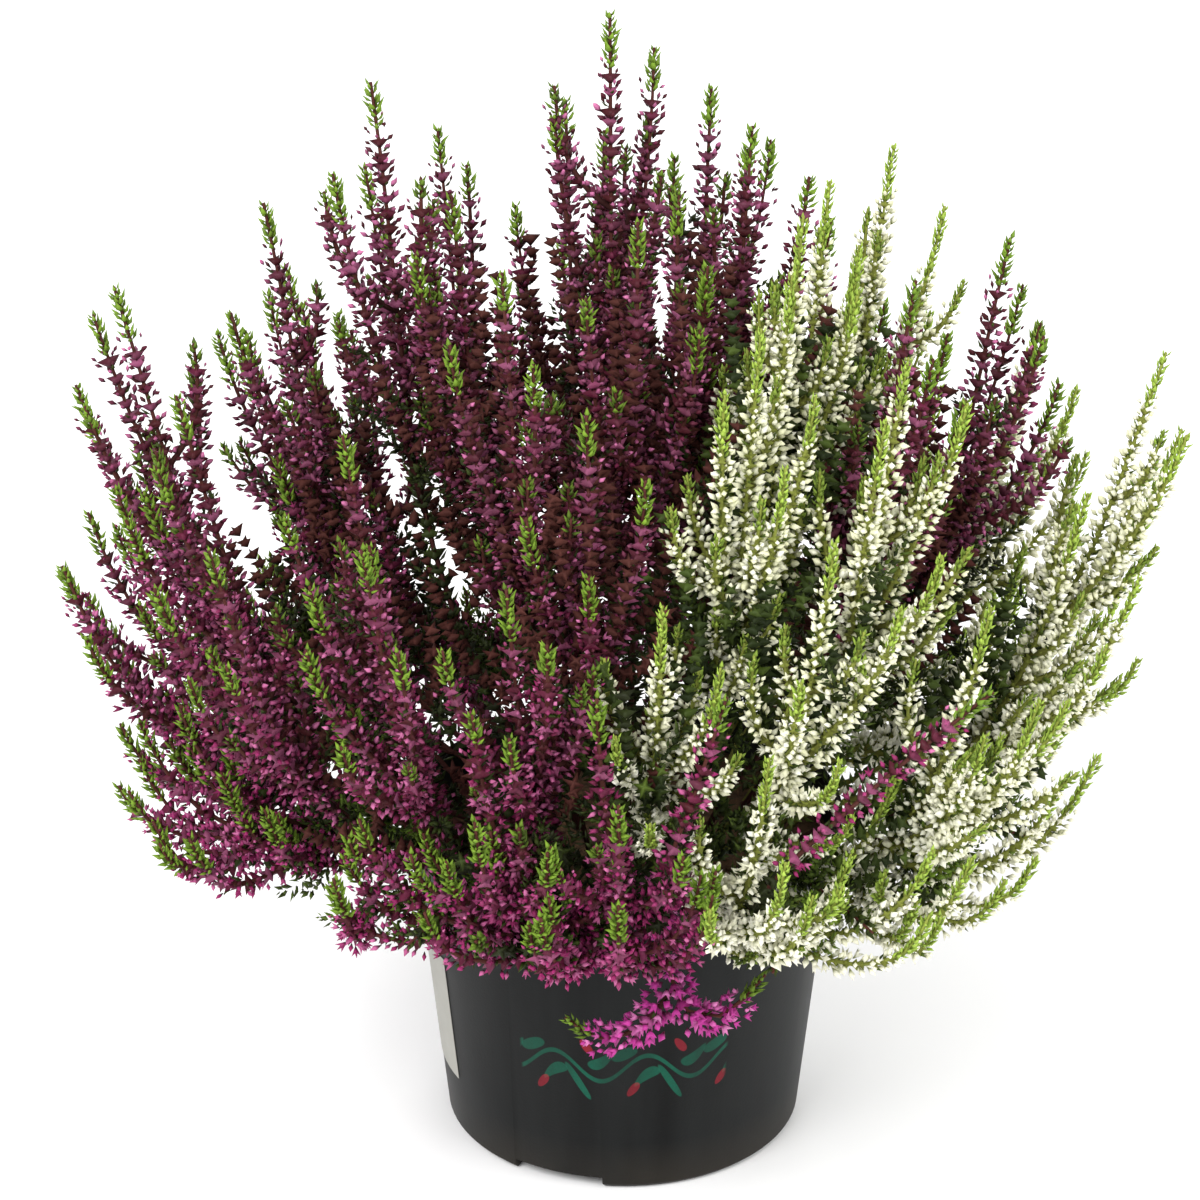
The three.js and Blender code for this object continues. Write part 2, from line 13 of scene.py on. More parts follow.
import bpy
import numpy as np
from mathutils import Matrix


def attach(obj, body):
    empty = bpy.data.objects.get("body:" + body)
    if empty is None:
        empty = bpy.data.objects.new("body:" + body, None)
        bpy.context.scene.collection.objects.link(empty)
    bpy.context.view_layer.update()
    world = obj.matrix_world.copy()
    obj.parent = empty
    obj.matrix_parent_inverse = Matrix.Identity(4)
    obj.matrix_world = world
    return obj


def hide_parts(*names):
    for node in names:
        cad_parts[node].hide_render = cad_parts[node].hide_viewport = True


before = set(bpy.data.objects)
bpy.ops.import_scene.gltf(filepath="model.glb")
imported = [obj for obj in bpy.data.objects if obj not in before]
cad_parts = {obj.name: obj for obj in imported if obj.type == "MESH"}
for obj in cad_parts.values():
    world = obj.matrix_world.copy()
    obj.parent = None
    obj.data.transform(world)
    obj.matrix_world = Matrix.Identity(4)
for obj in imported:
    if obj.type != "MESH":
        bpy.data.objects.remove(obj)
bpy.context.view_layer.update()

MM = 0.001
SEED = 20117
SHOOT_SEED = 100
SPRIG_SEED = 200
SMALLEST = 0.05
TINY = 1e-6
PATH_STEPS = 60
ROUTE_STEPS = 12
SPIRAL = math.radians(137.5)
DRAW_INDEX_STEP = 12.9898
DRAW_USE_STEP = 78.233
DRAW_SPREAD = 43758.5453
FOLIAGE_FLOOR = 94.0
FOLIAGE_FRONT = 90.0
FOLIAGE_RISE = 0.56
FOLIAGE_REACH = 146.0
TWIG_REACH = 116.0
INNER_REACH = 126.0
INNER_RISE = 176.0
BODY = "root"
UP = np.array([0.0, 0.0, 1.0])

log = logging.getLogger("heather")

Point = Tuple[float, float, float]
Colour = Tuple[float, float, float]


class Plant(Enum):
    """Which of the two plants a piece grows on."""

    PURPLE = "purple"
    WHITE = "white"


class Slot(Enum):
    """The material slots of a piece that grows, in their order on its mesh."""

    STEM = 0
    LEAF = 1
    BUD = 2


class Draw(IntEnum):
    """What each repeatable draw is for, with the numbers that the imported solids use."""

    TIP_HEIGHT = 2
    TIP_RADIUS = 5
    HAND_OUT = 10
    HAND_ASIDE = 12
    FRONT_ASIDE = 14
    HAND_DROP = 20
    FRONT_DROP = 22
    DEEP_DROP = 24
    FORK = 30
    SHOOT_REACH = 40
    SHOOT_TOP = 41
    SHOOT_TURN = 42
    TWIG_TOP = 44


# Small maths


def draw(index: int, use: int) -> float:
    """Draws a repeatable number for a piece and a use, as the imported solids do.

    Args:
        index: the piece's index.
        use: what the draw is for, one of Draw or a number counted on from it.

    Returns:
        A number from 0 to 1.
    """
    x = math.sin(index * DRAW_INDEX_STEP + use * DRAW_USE_STEP) * DRAW_SPREAD
    return x - math.floor(x)


def sway(index: int, use: int) -> float:
    """Draws a repeatable number from -1 to 1 for a piece's index and a use."""
    return 2 * draw(index, use) - 1


def heading(lean: float, bearing: float) -> np.ndarray:
    """Finds a unit vector that leans from the vertical towards a bearing.

    Args:
        lean: the angle from the vertical, in radians.
        bearing: the angle about the vertical, in radians.

    Returns:
        The vector.
    """
    return np.array([math.sin(lean) * math.cos(bearing), math.sin(lean) * math.sin(bearing), math.cos(lean)])


def clamp(value: float, low: float = 0.0, high: float = 1.0) -> float:
    """Keeps a number between two limits."""
    return max(low, min(high, value))


def unit(rows: np.ndarray) -> np.ndarray:
    """Scales vectors, in rows, to length 1."""
    return rows / np.linalg.norm(rows, axis=-1, keepdims=True)


def lowest(at: np.ndarray) -> np.ndarray:
    """Finds how low the foliage may hang at points: higher towards the front."""
    return FOLIAGE_FLOOR + FOLIAGE_RISE * np.maximum(0.0, -at[..., 1] - FOLIAGE_FRONT)


def srgb(red: int, green: int, blue: int) -> Colour:
    """Turns a colour from 0 to 255 a channel, as a screen shows it, into linear light."""
    shown = (red / 255, green / 255, blue / 255)
    return tuple(((c + 0.055) / 1.055) ** 2.4 if c > 0.04045 else c / 12.92 for c in shown)


# Paths


class Path:
    """A smooth line through space that knows its length."""

    def __init__(self, points: np.ndarray) -> None:
        """Keeps the line as closely spaced points, from its foot to its tip.

        Args:
            points: the points, one in each row.
        """
        self.points = points
        steps = np.linalg.norm(np.diff(points, axis=0), axis=1)
        self.marks = np.concatenate([[0.0], np.cumsum(steps)])
        across = points[-1] - points[0]
        bearing = math.atan2(across[1], across[0])
        self.side = np.array([-math.sin(bearing), math.cos(bearing), 0.0])

    @property
    def length(self) -> float:
        """The line's length."""
        return float(self.marks[-1])

    def where(self, along: np.ndarray) -> np.ndarray:
        """Finds the points at distances from the foot."""
        return np.stack([np.interp(along, self.marks, self.points[:, k]) for k in range(3)], axis=-1)

    def spot(self, along: float) -> np.ndarray:
        """Finds the point at one distance from the foot."""
        return self.where(np.array([along]))[0]

    def ahead(self, along: np.ndarray) -> np.ndarray:
        """Finds the directions of the line at distances from the foot."""
        step = self.length / PATH_STEPS
        after = self.where(np.minimum(along + step, self.length))
        return unit(after - self.where(np.maximum(along - step, 0)))

    def axes(self, along: np.ndarray) -> Tuple[np.ndarray, np.ndarray, np.ndarray]:
        """Finds the line's directions and two directions across it.

        Args:
            along: distances from the foot.

        Returns:
            Three arrays with a vector in each row: ahead, sideways and outward.
        """
        ahead = self.ahead(along)
        side = unit(self.side - (ahead @ self.side)[:, None] * ahead)
        return ahead, side, np.cross(ahead, side)

    def around(self, along: np.ndarray, turn: np.ndarray) -> Tuple[np.ndarray, np.ndarray]:
        """Finds the line's directions, and directions across it.

        Args:
            along: distances from the foot.
            turn: the angle round the line at each of them, in radians.

        Returns:
            Two arrays with a vector in each row: ahead and across.
        """
        ahead, side, outward = self.axes(along)
        return ahead, np.cos(turn)[:, None] * side + np.sin(turn)[:, None] * outward

    def leaving(self, along: float, turn: float) -> Tuple[np.ndarray, np.ndarray]:
        """Finds the direction ahead and one across, at one distance and one angle round the line."""
        ahead, side, outward = (axis[0] for axis in self.axes(np.array([along])))
        return ahead, math.cos(turn) * side + math.sin(turn) * outward


@dataclass
class Bend:
    """A cubic curve given by its ends and two points that pull it."""

    start: np.ndarray
    leave: np.ndarray
    arrive: np.ndarray
    end: np.ndarray

    def point(self, share: np.ndarray) -> np.ndarray:
        """Finds points at shares of the curve, from 0 to 1."""
        t = np.asarray(share, float)[..., None]
        return (
            (1 - t) ** 3 * self.start
            + 3 * (1 - t) ** 2 * t * self.leave
            + 3 * (1 - t) * t**2 * self.arrive
            + t**3 * self.end
        )

    def tangent(self, t: float) -> np.ndarray:
        """Finds the unit direction at a share of the curve."""
        slope = (
            (1 - t) ** 2 * (self.leave - self.start)
            + 2 * (1 - t) * t * (self.arrive - self.leave)
            + t**2 * (self.end - self.arrive)
        )
        return unit(slope)

    def path(self) -> Path:
        """Walks the curve as a path."""
        return Path(self.point(np.linspace(0, 1, PATH_STEPS + 1)))


def path_through(points: Sequence[Point]) -> Path:
    """Walks a smooth path through points.

    Args:
        points: the points, from the foot to the tip.

    Returns:
        The path.
    """
    rows = np.array(points, float)
    ends = np.vstack([2 * rows[0] - rows[1], rows, 2 * rows[-1] - rows[-2]])
    walked = []
    for a, b, c, d in zip(ends[:-3], ends[1:-2], ends[2:-1], ends[3:]):
        t = np.linspace(0, 1, ROUTE_STEPS, endpoint=False)[:, None]
        bend = 2 * b + (c - a) * t + (2 * a - 5 * b + 4 * c - d) * t**2 + (3 * b - a - 3 * c + d) * t**3
        walked.append(bend / 2)
    return Path(np.vstack([*walked, rows[-1:]]))


# Layout of the bush


@dataclass(frozen=True)
class Tip:
    """The top of a spray's main spike."""

    at: np.ndarray
    plant: Plant


@dataclass(frozen=True)
class Bush:
    """The rule that lays out the sprays, shoots and sprig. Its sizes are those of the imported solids."""

    sprays: int = 48
    golden_angle: float = 137.50776
    edge_radius: float = 150.0
    dome_low: float = 112.0
    dome_rise: float = 178.0
    dome_power: float = 2.6
    top_share: float = 0.54
    top_radius: float = 122.0
    side_low: float = 122.0
    side_bulge: float = 14.0
    height_sway: float = 11.0
    radius_sway: float = 3.0
    white_from: float = 38.0
    white_slant: float = 0.28
    white_low: float = 24.0
    foot_circle: float = 46.0
    foot_share: float = 0.75
    foot_share_low: float = 0.25
    start_lean: float = 52.0
    start_lean_extra: float = 18.0
    lean_gain: float = 1.15
    start_handle: float = 0.3
    start_handle_out: float = 0.2
    end_lean: float = 16.0
    end_handle: float = 0.35
    end_handle_out: float = 0.12
    soil_top: float = 87.0
    collar: float = 3.0
    pot_height: float = 95.0
    rim_clearance: float = 3.0
    low_tip: float = 200.0
    side_forks: Tuple[float, ...] = (0.4, 0.4, 0.34, 0.24)
    fork_sway: float = 0.1
    hand_out_high: float = 6.0
    hand_out_low: float = -4.0
    hand_out_sway: float = 3.0
    hand_aside_high: float = 14.0
    hand_aside_low: float = 18.0
    hand_aside_sway: float = 2.0
    hand_drop: float = 10.0
    hand_drop_more: float = 24.0
    hand_drop_low_share: float = 0.5
    front_out: float = 15.0
    front_aside_sway: float = 6.0
    front_drop: float = 42.0
    front_drop_least: float = 0.7
    front_drop_more: float = 0.6
    front_limit: float = 148.0
    back_rise: float = 22.0
    deep_out: float = -4.0
    deep_aside: float = 9.0
    deep_drop: float = 80.0
    deep_drop_sway: float = 0.15
    lowest_tip: float = 107.0
    leave_ahead: float = 0.4
    leave_handle: float = 0.35
    arrive_handle: float = 0.4
    inner_radius: float = 70.0
    shoots: Tuple[Point, ...] = (
        (36, 121, 110),
        (62, 104, 132),
        (120, 121, 110),
        (159, 104, 132),
        (210, 84, 120),
        (243, 121, 110),
        (305, 121, 110),
        (336, 121, 110),
    )
    shoot_foot: float = 47.0
    shoot_crest_out: float = 24.0
    shoot_crest_rise: float = 19.0
    shoot_crest_pull: float = 0.7
    shoot_reach_sway: float = 3.0
    shoot_top_sway: float = 5.0
    shoot_turn_sway: float = 3.0
    twig_fork: float = 0.4
    twig_turn: float = 14.0
    twig_reach: float = 0.9
    twig_drop: float = 6.0
    twig_sway: float = 4.0
    twig_bow: float = 4.0
    bent: Tuple[Tuple[int, float], ...] = ((32, -2),)
    leaders: Tuple[Tuple[float, float, float, Plant], ...] = (
        (-4, 30, 318, Plant.PURPLE),
        (-67, 10, 306, Plant.PURPLE),
        (34, 20, 290, Plant.PURPLE),
        (54, 0, 282, Plant.WHITE),
        (103, 10, 262, Plant.PURPLE),
        (145, 0, 233, Plant.WHITE),
        (138, -25, 178, Plant.WHITE),
        (-150, -30, 184, Plant.PURPLE),
        (-149, 25, 174, Plant.PURPLE),
        (-136, 0, 252, Plant.PURPLE),
        (-97, 20, 268, Plant.PURPLE),
        (-46, 5, 276, Plant.PURPLE),
        (-105, -94, 219, Plant.PURPLE),
        (-66, -108, 226, Plant.PURPLE),
        (-30, -110, 216, Plant.PURPLE),
        (9, -103, 208, Plant.WHITE),
        (52, -104, 226, Plant.WHITE),
        (-10, -80, 250, Plant.PURPLE),
        (76, -20, 262, Plant.PURPLE),
        (106, -92, 176, Plant.WHITE),
        (-2, -136, 169, Plant.PURPLE),
        (-38, -132, 162, Plant.PURPLE),
        (40, -131, 150, Plant.WHITE),
        (-132, -60, 132, Plant.PURPLE),
    )
    sprig_route: Tuple[Point, ...] = (
        (6, -47, 90),
        (8, -58, 103),
        (10, -73, 104),
        (12, -83, 90),
        (17, -87, 80),
        (27, -88, 80),
        (37, -88, 92),
    )
    sprig_fork: float = 0.62
    sprig_twig: Tuple[Point, ...] = ((4, -88, 76), (-7, -87, 72), (-16, -85, 77))
    strays: Tuple[Tuple[Point, ...], ...] = (
        ((16, -45, 88), (30, -92, 112), (42, -113, 140), (67, -115, 167), (92, -113, 189)),
        ((6, -45, 88), (9, -94, 112), (11, -117, 142), (18, -120, 166), (25, -118, 190)),
    )

    def dome(self, radius: float) -> float:
        """Finds the dome's height at a distance from the axis."""
        out = min(1.0, radius / self.edge_radius)
        return self.dome_low + self.dome_rise * math.sqrt(max(0.0, 1 - out**self.dome_power))

    def tips(self) -> List[Tip]:
        """Spreads the main spikes' tips over the dome and its side, with the leaders put in."""
        tips = []
        brow = self.dome(self.top_radius)
        for i in range(self.sprays):
            share = (i + 0.5) / self.sprays
            bearing = math.radians(i * self.golden_angle)
            down = (share - self.top_share) / (1 - self.top_share)
            if down < 0:
                radius = self.top_radius * math.sqrt(share / self.top_share)
                height = self.dome(radius)
            else:
                radius = self.top_radius + self.side_bulge * math.sin(math.pi * down)
                height = brow + (self.side_low - brow) * down
            height += self.height_sway * sway(i, Draw.TIP_HEIGHT)
            radius += self.radius_sway * sway(i, Draw.TIP_RADIUS)
            at = np.array([radius * math.cos(bearing), radius * math.sin(bearing), height])
            white = at[0] > self.white_from + self.white_slant * at[1]
            tips.append(Tip(at, Plant.WHITE if white else Plant.PURPLE))
        taken: List[int] = []
        for x, y, z, plant in self.leaders:
            at = np.array([x, y, z], float)
            free = [i for i in range(len(tips)) if i not in taken]
            nearest = min(free, key=lambda i: float(np.linalg.norm(at - tips[i].at)))
            taken.append(nearest)
            tips[nearest] = Tip(at, plant)
        for index, turn in self.bent:
            tips[index] = Tip(turned(tips[index].at, turn), tips[index].plant)
        return tips

    def plant_at(self, at: np.ndarray) -> Plant:
        """Finds which plant fills a place low in the bush."""
        return Plant.WHITE if at[0] > self.white_low else Plant.PURPLE

    def main(self, tip: np.ndarray) -> Bend:
        """Leads a main spike out over the rim, then up to its tip.

        Args:
            tip: the spike's tip.

        Returns:
            The spike's curve.
        """
        radius = math.hypot(tip[0], tip[1])
        bearing = math.atan2(tip[1], tip[0])
        out = radius / self.edge_radius
        brow = self.dome(self.top_radius)
        low = clamp((brow - tip[2]) / (brow - self.side_low)) * clamp(out * 2 - 1)
        foot_share = min(1.0, self.foot_share * out + self.foot_share_low * low)
        foot = heading(math.pi / 2, bearing) * self.foot_circle * foot_share
        foot[2] = self.soil_top + self.collar
        chord = float(np.linalg.norm(tip - foot))
        lean = min(1.0, out * self.lean_gain) * (self.start_lean + self.start_lean_extra * (1 - low))
        start = heading(math.radians(lean), bearing)
        end = heading(math.radians(self.end_lean * out), bearing)
        highest = (tip[2] - self.pot_height - self.rim_clearance) / end[2]
        rise = min((self.end_handle + self.end_handle_out * out) * chord, highest)
        leave = foot + start * (self.start_handle + self.start_handle_out * out) * chord
        return Bend(foot, leave, tip - end * rise, tip)

    def side_count(self, tip: np.ndarray) -> int:
        """Counts a spray's side spikes: most on the high sprays further out."""
        if math.hypot(tip[0], tip[1]) < self.inner_radius:
            return 2
        return 4 if tip[2] >= self.low_tip + self.deep_drop / 4 else 3

    def side_end(self, index: int, side: int, tip: np.ndarray) -> np.ndarray:
        """Finds where a side spike ends.

        Args:
            index: the spray's index.
            side: 0 and 1 to either hand, 2 in front or behind, 3 deep in the bush.
            tip: the main spike's tip.

        Returns:
            The side spike's tip.
        """
        bearing = math.atan2(tip[1], tip[0])
        outward = heading(math.pi / 2, bearing)
        along = np.array([-math.sin(bearing), math.cos(bearing), 0.0])
        high = tip[2] >= self.low_tip
        end = tip.copy()
        if side == 3:
            end += outward * self.deep_out + along * self.deep_aside * (1 if index % 2 else -1)
            end[2] -= self.deep_drop * (1 + self.deep_drop_sway * sway(index, Draw.DEEP_DROP))
        elif side == 2:
            out = self.front_out if high else -self.front_out
            drop = self.front_drop_least + self.front_drop_more * draw(index, Draw.FRONT_DROP)
            end += outward * out + along * self.front_aside_sway * sway(index, Draw.FRONT_ASIDE)
            end[2] += -self.front_drop * drop if high else self.back_rise
        else:
            out = self.hand_out_high if high else self.hand_out_low
            aside = self.hand_aside_high if high else self.hand_aside_low
            drop = self.hand_drop + self.hand_drop_more * draw(index, Draw.HAND_DROP + side)
            end += outward * (out + self.hand_out_sway * sway(index, Draw.HAND_OUT + side))
            aside += self.hand_aside_sway * sway(index, Draw.HAND_ASIDE + side)
            end += along * (1 if side else -1) * aside
            end[2] -= drop * (1 if high else self.hand_drop_low_share)
        reach = math.hypot(end[0], end[1])
        if side == 2 and reach > self.front_limit:
            end[:2] *= self.front_limit / reach
        end[2] = max(end[2], self.lowest_tip)
        return end

    def side(self, index: int, side: int, tip: np.ndarray, main: Bend) -> Bend:
        """Leads a side spike from its fork on the main one to its tip.

        Args:
            index: the spray's index.
            side: which side spike.
            tip: the main spike's tip.
            main: the main spike's curve.

        Returns:
            The side spike's curve.
        """
        end = self.side_end(index, side, tip)
        fork = self.side_forks[side] + self.fork_sway * draw(index, Draw.FORK + side)
        start = main.point(fork)
        across = end - start
        length = float(np.linalg.norm(across))
        way = unit(self.leave_ahead * main.tangent(fork) + (1 - self.leave_ahead) * across / length)
        out = math.hypot(end[0], end[1]) / self.edge_radius
        arrive = heading(math.radians(self.end_lean * out), math.atan2(end[1], end[0]))
        leave = start + way * self.leave_handle * length
        return Bend(start, leave, end - arrive * self.arrive_handle * length, end)

    def shoot(self, index: int) -> List[Bend]:
        """Leads a leafy shoot over the rim, with a twig to either hand.

        Args:
            index: the shoot's index.

        Returns:
            The curves of the shoot and of its twigs.
        """
        bearing, reach, top = self.shoots[index]
        start = polar(self.shoot_foot, self.soil_top + self.collar, bearing)
        over = polar(self.shoot_foot + self.shoot_crest_out, self.pot_height + self.shoot_crest_rise, bearing)
        end = polar(
            reach + self.shoot_reach_sway * sway(index, Draw.SHOOT_REACH),
            top + self.shoot_top_sway * sway(index, Draw.SHOOT_TOP),
            bearing + self.shoot_turn_sway * sway(index, Draw.SHOOT_TURN),
        )
        main = Bend(start, start + self.shoot_crest_pull * (over - start), over, end)
        bends = [main]
        fork = main.point(self.twig_fork)
        for hand in (-1, 1):
            share = self.twig_reach * reach / math.hypot(fork[0], fork[1])
            tip = turned(fork, hand * self.twig_turn) * share
            tip[2] = top - self.twig_drop + self.twig_sway * sway(index, Draw.TWIG_TOP + hand)
            middle = (fork + tip) / 2 + self.twig_bow * main.tangent(self.twig_fork)
            bends.append(Bend(fork, middle, middle, tip))
        return bends

    def sprig(self) -> List[Path]:
        """Leads the hanging sprig over the rim, with its twig."""
        main = path_through(self.sprig_route)
        fork = main.spot(self.sprig_fork * main.length)
        return [main, path_through([tuple(fork), *self.sprig_twig])]


def polar(radius: float, height: float, bearing: float) -> np.ndarray:
    """Finds a point about the pot's axis.

    Args:
        radius: its distance from the axis.
        height: its height.
        bearing: its bearing in degrees.

    Returns:
        The point.
    """
    at = heading(math.pi / 2, math.radians(bearing)) * radius
    at[2] = height
    return at


def turned(at: np.ndarray, degrees: float) -> np.ndarray:
    """Turns a point about the pot's axis."""
    c, s = math.cos(math.radians(degrees)), math.sin(math.radians(degrees))
    return np.array([c * at[0] - s * at[1], s * at[0] + c * at[1], at[2]])


# Hand modelling


class Turner:
    """Models a closed shape by hand: a filled ring of points that is extruded and resized ring by ring."""

    def __init__(self, name: str, sides: int, radius: float, height: float, flat: float = 1.0) -> None:
        """Lays the first, filled ring.

        Args:
            name: the object's name.
            sides: how many sides the ring has.
            radius: the ring's radius in millimetres.
            height: the ring's height in millimetres.
            flat: how far the ring is flattened along Y, from 0 to 1.
        """
        bpy.ops.object.select_all(action="DESELECT")
        bpy.ops.mesh.primitive_circle_add(
            vertices=sides, radius=radius * MM, fill_type="NGON", location=(0, 0, height * MM)
        )
        self.object = bpy.context.active_object
        self.object.name = name
        self.radius, self.height = radius, height
        bpy.ops.object.transform_apply(location=True, rotation=False, scale=False)
        bpy.ops.object.mode_set(mode="EDIT")
        bpy.ops.mesh.select_all(action="SELECT")
        bpy.ops.mesh.flip_normals()
        if flat != 1.0:
            bpy.ops.transform.resize(value=(1, flat, 1))

    def ring(self, radius: float, height: float, lean: float = 0.0) -> "Turner":
        """Extrudes the last ring to a new radius and height.

        Args:
            radius: the new ring's radius in millimetres.
            height: the new ring's height in millimetres.
            lean: how far the ring is also moved along Y, in millimetres.

        Returns:
            This shape, so that rings can be chained.
        """
        bpy.ops.mesh.extrude_region_move(
            TRANSFORM_OT_translate={"value": (0, lean * MM, (height - self.height) * MM)}
        )
        scale = radius / self.radius
        if abs(scale - 1) > TINY:
            bpy.ops.transform.resize(value=(scale, scale, 1))
        self.radius, self.height = radius, height
        return self

    def point(self) -> "Turner":
        """Draws the last ring together into a point."""
        bpy.ops.mesh.merge(type="CENTER")
        return self

    def done(self) -> bpy.types.Object:
        """Leaves edit mode with faces that point outwards."""
        bpy.ops.mesh.select_all(action="SELECT")
        bpy.ops.mesh.remove_doubles(threshold=SMALLEST * MM)
        bpy.ops.mesh.normals_make_consistent(inside=False)
        bpy.ops.object.mode_set(mode="OBJECT")
        return self.object


@dataclass
class Shape:
    """A small modelled shape that is copied many times. Its foot is at the origin and it points along Z."""

    points: np.ndarray
    faces: np.ndarray

    @property
    def height(self) -> float:
        """The height of its tip."""
        return float(self.points[:, 2].max())

    @classmethod
    def taken_from(cls, source: bpy.types.Object) -> "Shape":
        """Takes the shape of a modelled object and removes the object.

        Args:
            source: the object.

        Returns:
            Its shape, in millimetres and in triangles.
        """
        mesh = source.data
        mesh.calc_loop_triangles()
        points = np.array([v.co for v in mesh.vertices]) / MM
        faces = np.array([t.vertices for t in mesh.loop_triangles])
        bpy.data.objects.remove(source)
        bpy.data.meshes.remove(mesh)
        return cls(points, faces)


@dataclass(frozen=True)
class Nursery:
    """Models the shapes that repeat: two buds, open flower, leaf, whorl of bracts and rod.

    Rings are given as shares of the shape's own radius and length.
    """

    bud_length: float = 3.1
    bud_radius: float = 0.95
    bud_rings: Tuple[Tuple[float, float], ...] = ((1.0, 0.42), (0.66, 0.8))
    tight_rings: Tuple[Tuple[float, float], ...] = ((0.92, 0.55),)
    flower_rim: Tuple[float, float] = (1.15, 0.62)
    flower_middle: float = 0.66
    sepal_stretch: Point = (1.35, 1.35, 1.6)
    cleft_stretch: Point = (0.7, 0.7, 0.85)
    leaf_length: float = 3.0
    leaf_width: float = 0.62
    leaf_flat: float = 0.5
    leaf_wide_at: float = 0.42
    leaf_bow: Tuple[float, float] = (0.15, -0.25)
    whorl_radius: float = 2.3
    whorl_middle: float = 1.1
    whorl_pinch: Point = (0.36, 0.36, 0.6)
    arm_width: float = 0.7
    rod_rings: int = 10
    point: float = 0.02

    def pod(self, name: str, rings: Sequence[Tuple[float, float]]) -> Shape:
        """Models a four-sided bud, as heather's are, that is pointed at both ends.

        Args:
            name: the shape's name.
            rings: the rings between its ends.

        Returns:
            The shape.
        """
        pod = Turner(name, 4, self.point, 0)
        for wide, high in rings:
            pod.ring(wide * self.bud_radius, high * self.bud_length)
        pod.ring(self.point, self.bud_length).point()
        return Shape.taken_from(pod.done())

    def bud(self) -> Shape:
        """Models a closed bud, with a narrow foot, a full body and a blunt end."""
        return self.pod("bud", self.bud_rings)

    def tight_bud(self) -> Shape:
        """Models a young bud, which is widest in its middle."""
        return self.pod("tight_bud", self.tight_rings)

    def crossed(self, shape: Shape, inside: float) -> Tuple[np.ndarray, np.ndarray]:
        """Tells an eight-sided shape's rim points on the arms of a cross from those between them.

        Args:
            shape: the shape.
            inside: the radius outside which its rim lies.

        Returns:
            Which points are on the arms, and which are between them.
        """
        x, y = shape.points[:, 0], shape.points[:, 1]
        rim = np.hypot(x, y) > inside
        arm = np.abs(np.cos(2 * np.arctan2(y, x))) > self.arm_width
        return rim & arm, rim & ~arm

    def open_flower(self) -> Shape:
        """Models a flower that opens: its four sepals spread round a short middle."""
        wide, high = self.flower_rim
        flower = Turner("open_flower", 8, self.point, 0)
        flower.ring(wide * self.bud_radius, high * self.bud_length)
        flower.ring(self.point, self.flower_middle * self.bud_length).point()
        shape = Shape.taken_from(flower.done())
        sepals, clefts = self.crossed(shape, self.bud_radius)
        shape.points[sepals] *= np.array(self.sepal_stretch)
        shape.points[clefts] *= np.array(self.cleft_stretch)
        return shape

    def leaf(self) -> Shape:
        """Models a scale leaf: a narrow flattened blade that bows towards its stem and ends in a point."""
        bow_out, bow_in = self.leaf_bow
        leaf = Turner("leaf", 4, self.point, 0, flat=self.leaf_flat)
        leaf.ring(self.leaf_width, self.leaf_wide_at * self.leaf_length, bow_out)
        leaf.ring(self.point, self.leaf_length, bow_in).point()
        return Shape.taken_from(leaf.done())

    def whorl(self) -> Shape:
        """Models a whorl of four bracts that stand out round a stem."""
        radius = self.whorl_radius
        whorl = Turner("whorl", 8, self.point, 0)
        whorl.ring(radius, radius).ring(self.point, self.whorl_middle * radius).point()
        shape = Shape.taken_from(whorl.done())
        _, pinched = self.crossed(shape, radius / 2)
        shape.points[pinched] *= np.array(self.whorl_pinch)
        return shape

    def rod(self) -> Shape:
        """Models a straight stem of length 1 and radius 1, ringed so that it can be bent."""
        rod = Turner("rod", 4, 1.0, 0)
        for k in range(1, self.rod_rings + 1):
            rod.ring(1.0, k / self.rod_rings)
        return Shape.taken_from(rod.done())


# Growing pieces


@dataclass
class Copies:
    """Places for copies of a shape, with a row for each copy."""

    feet: np.ndarray
    ways: np.ndarray
    faces_out: np.ndarray
    widths: np.ndarray
    lengths: np.ndarray
    chance: np.ndarray
    fresh: np.ndarray

    def kept(self, which: np.ndarray) -> "Copies":
        """Keeps some of the copies.

        Args:
            which: true for each copy that is kept.

        Returns:
            Those copies.
        """
        return Copies(*(getattr(self, part.name)[which] for part in fields(self)))


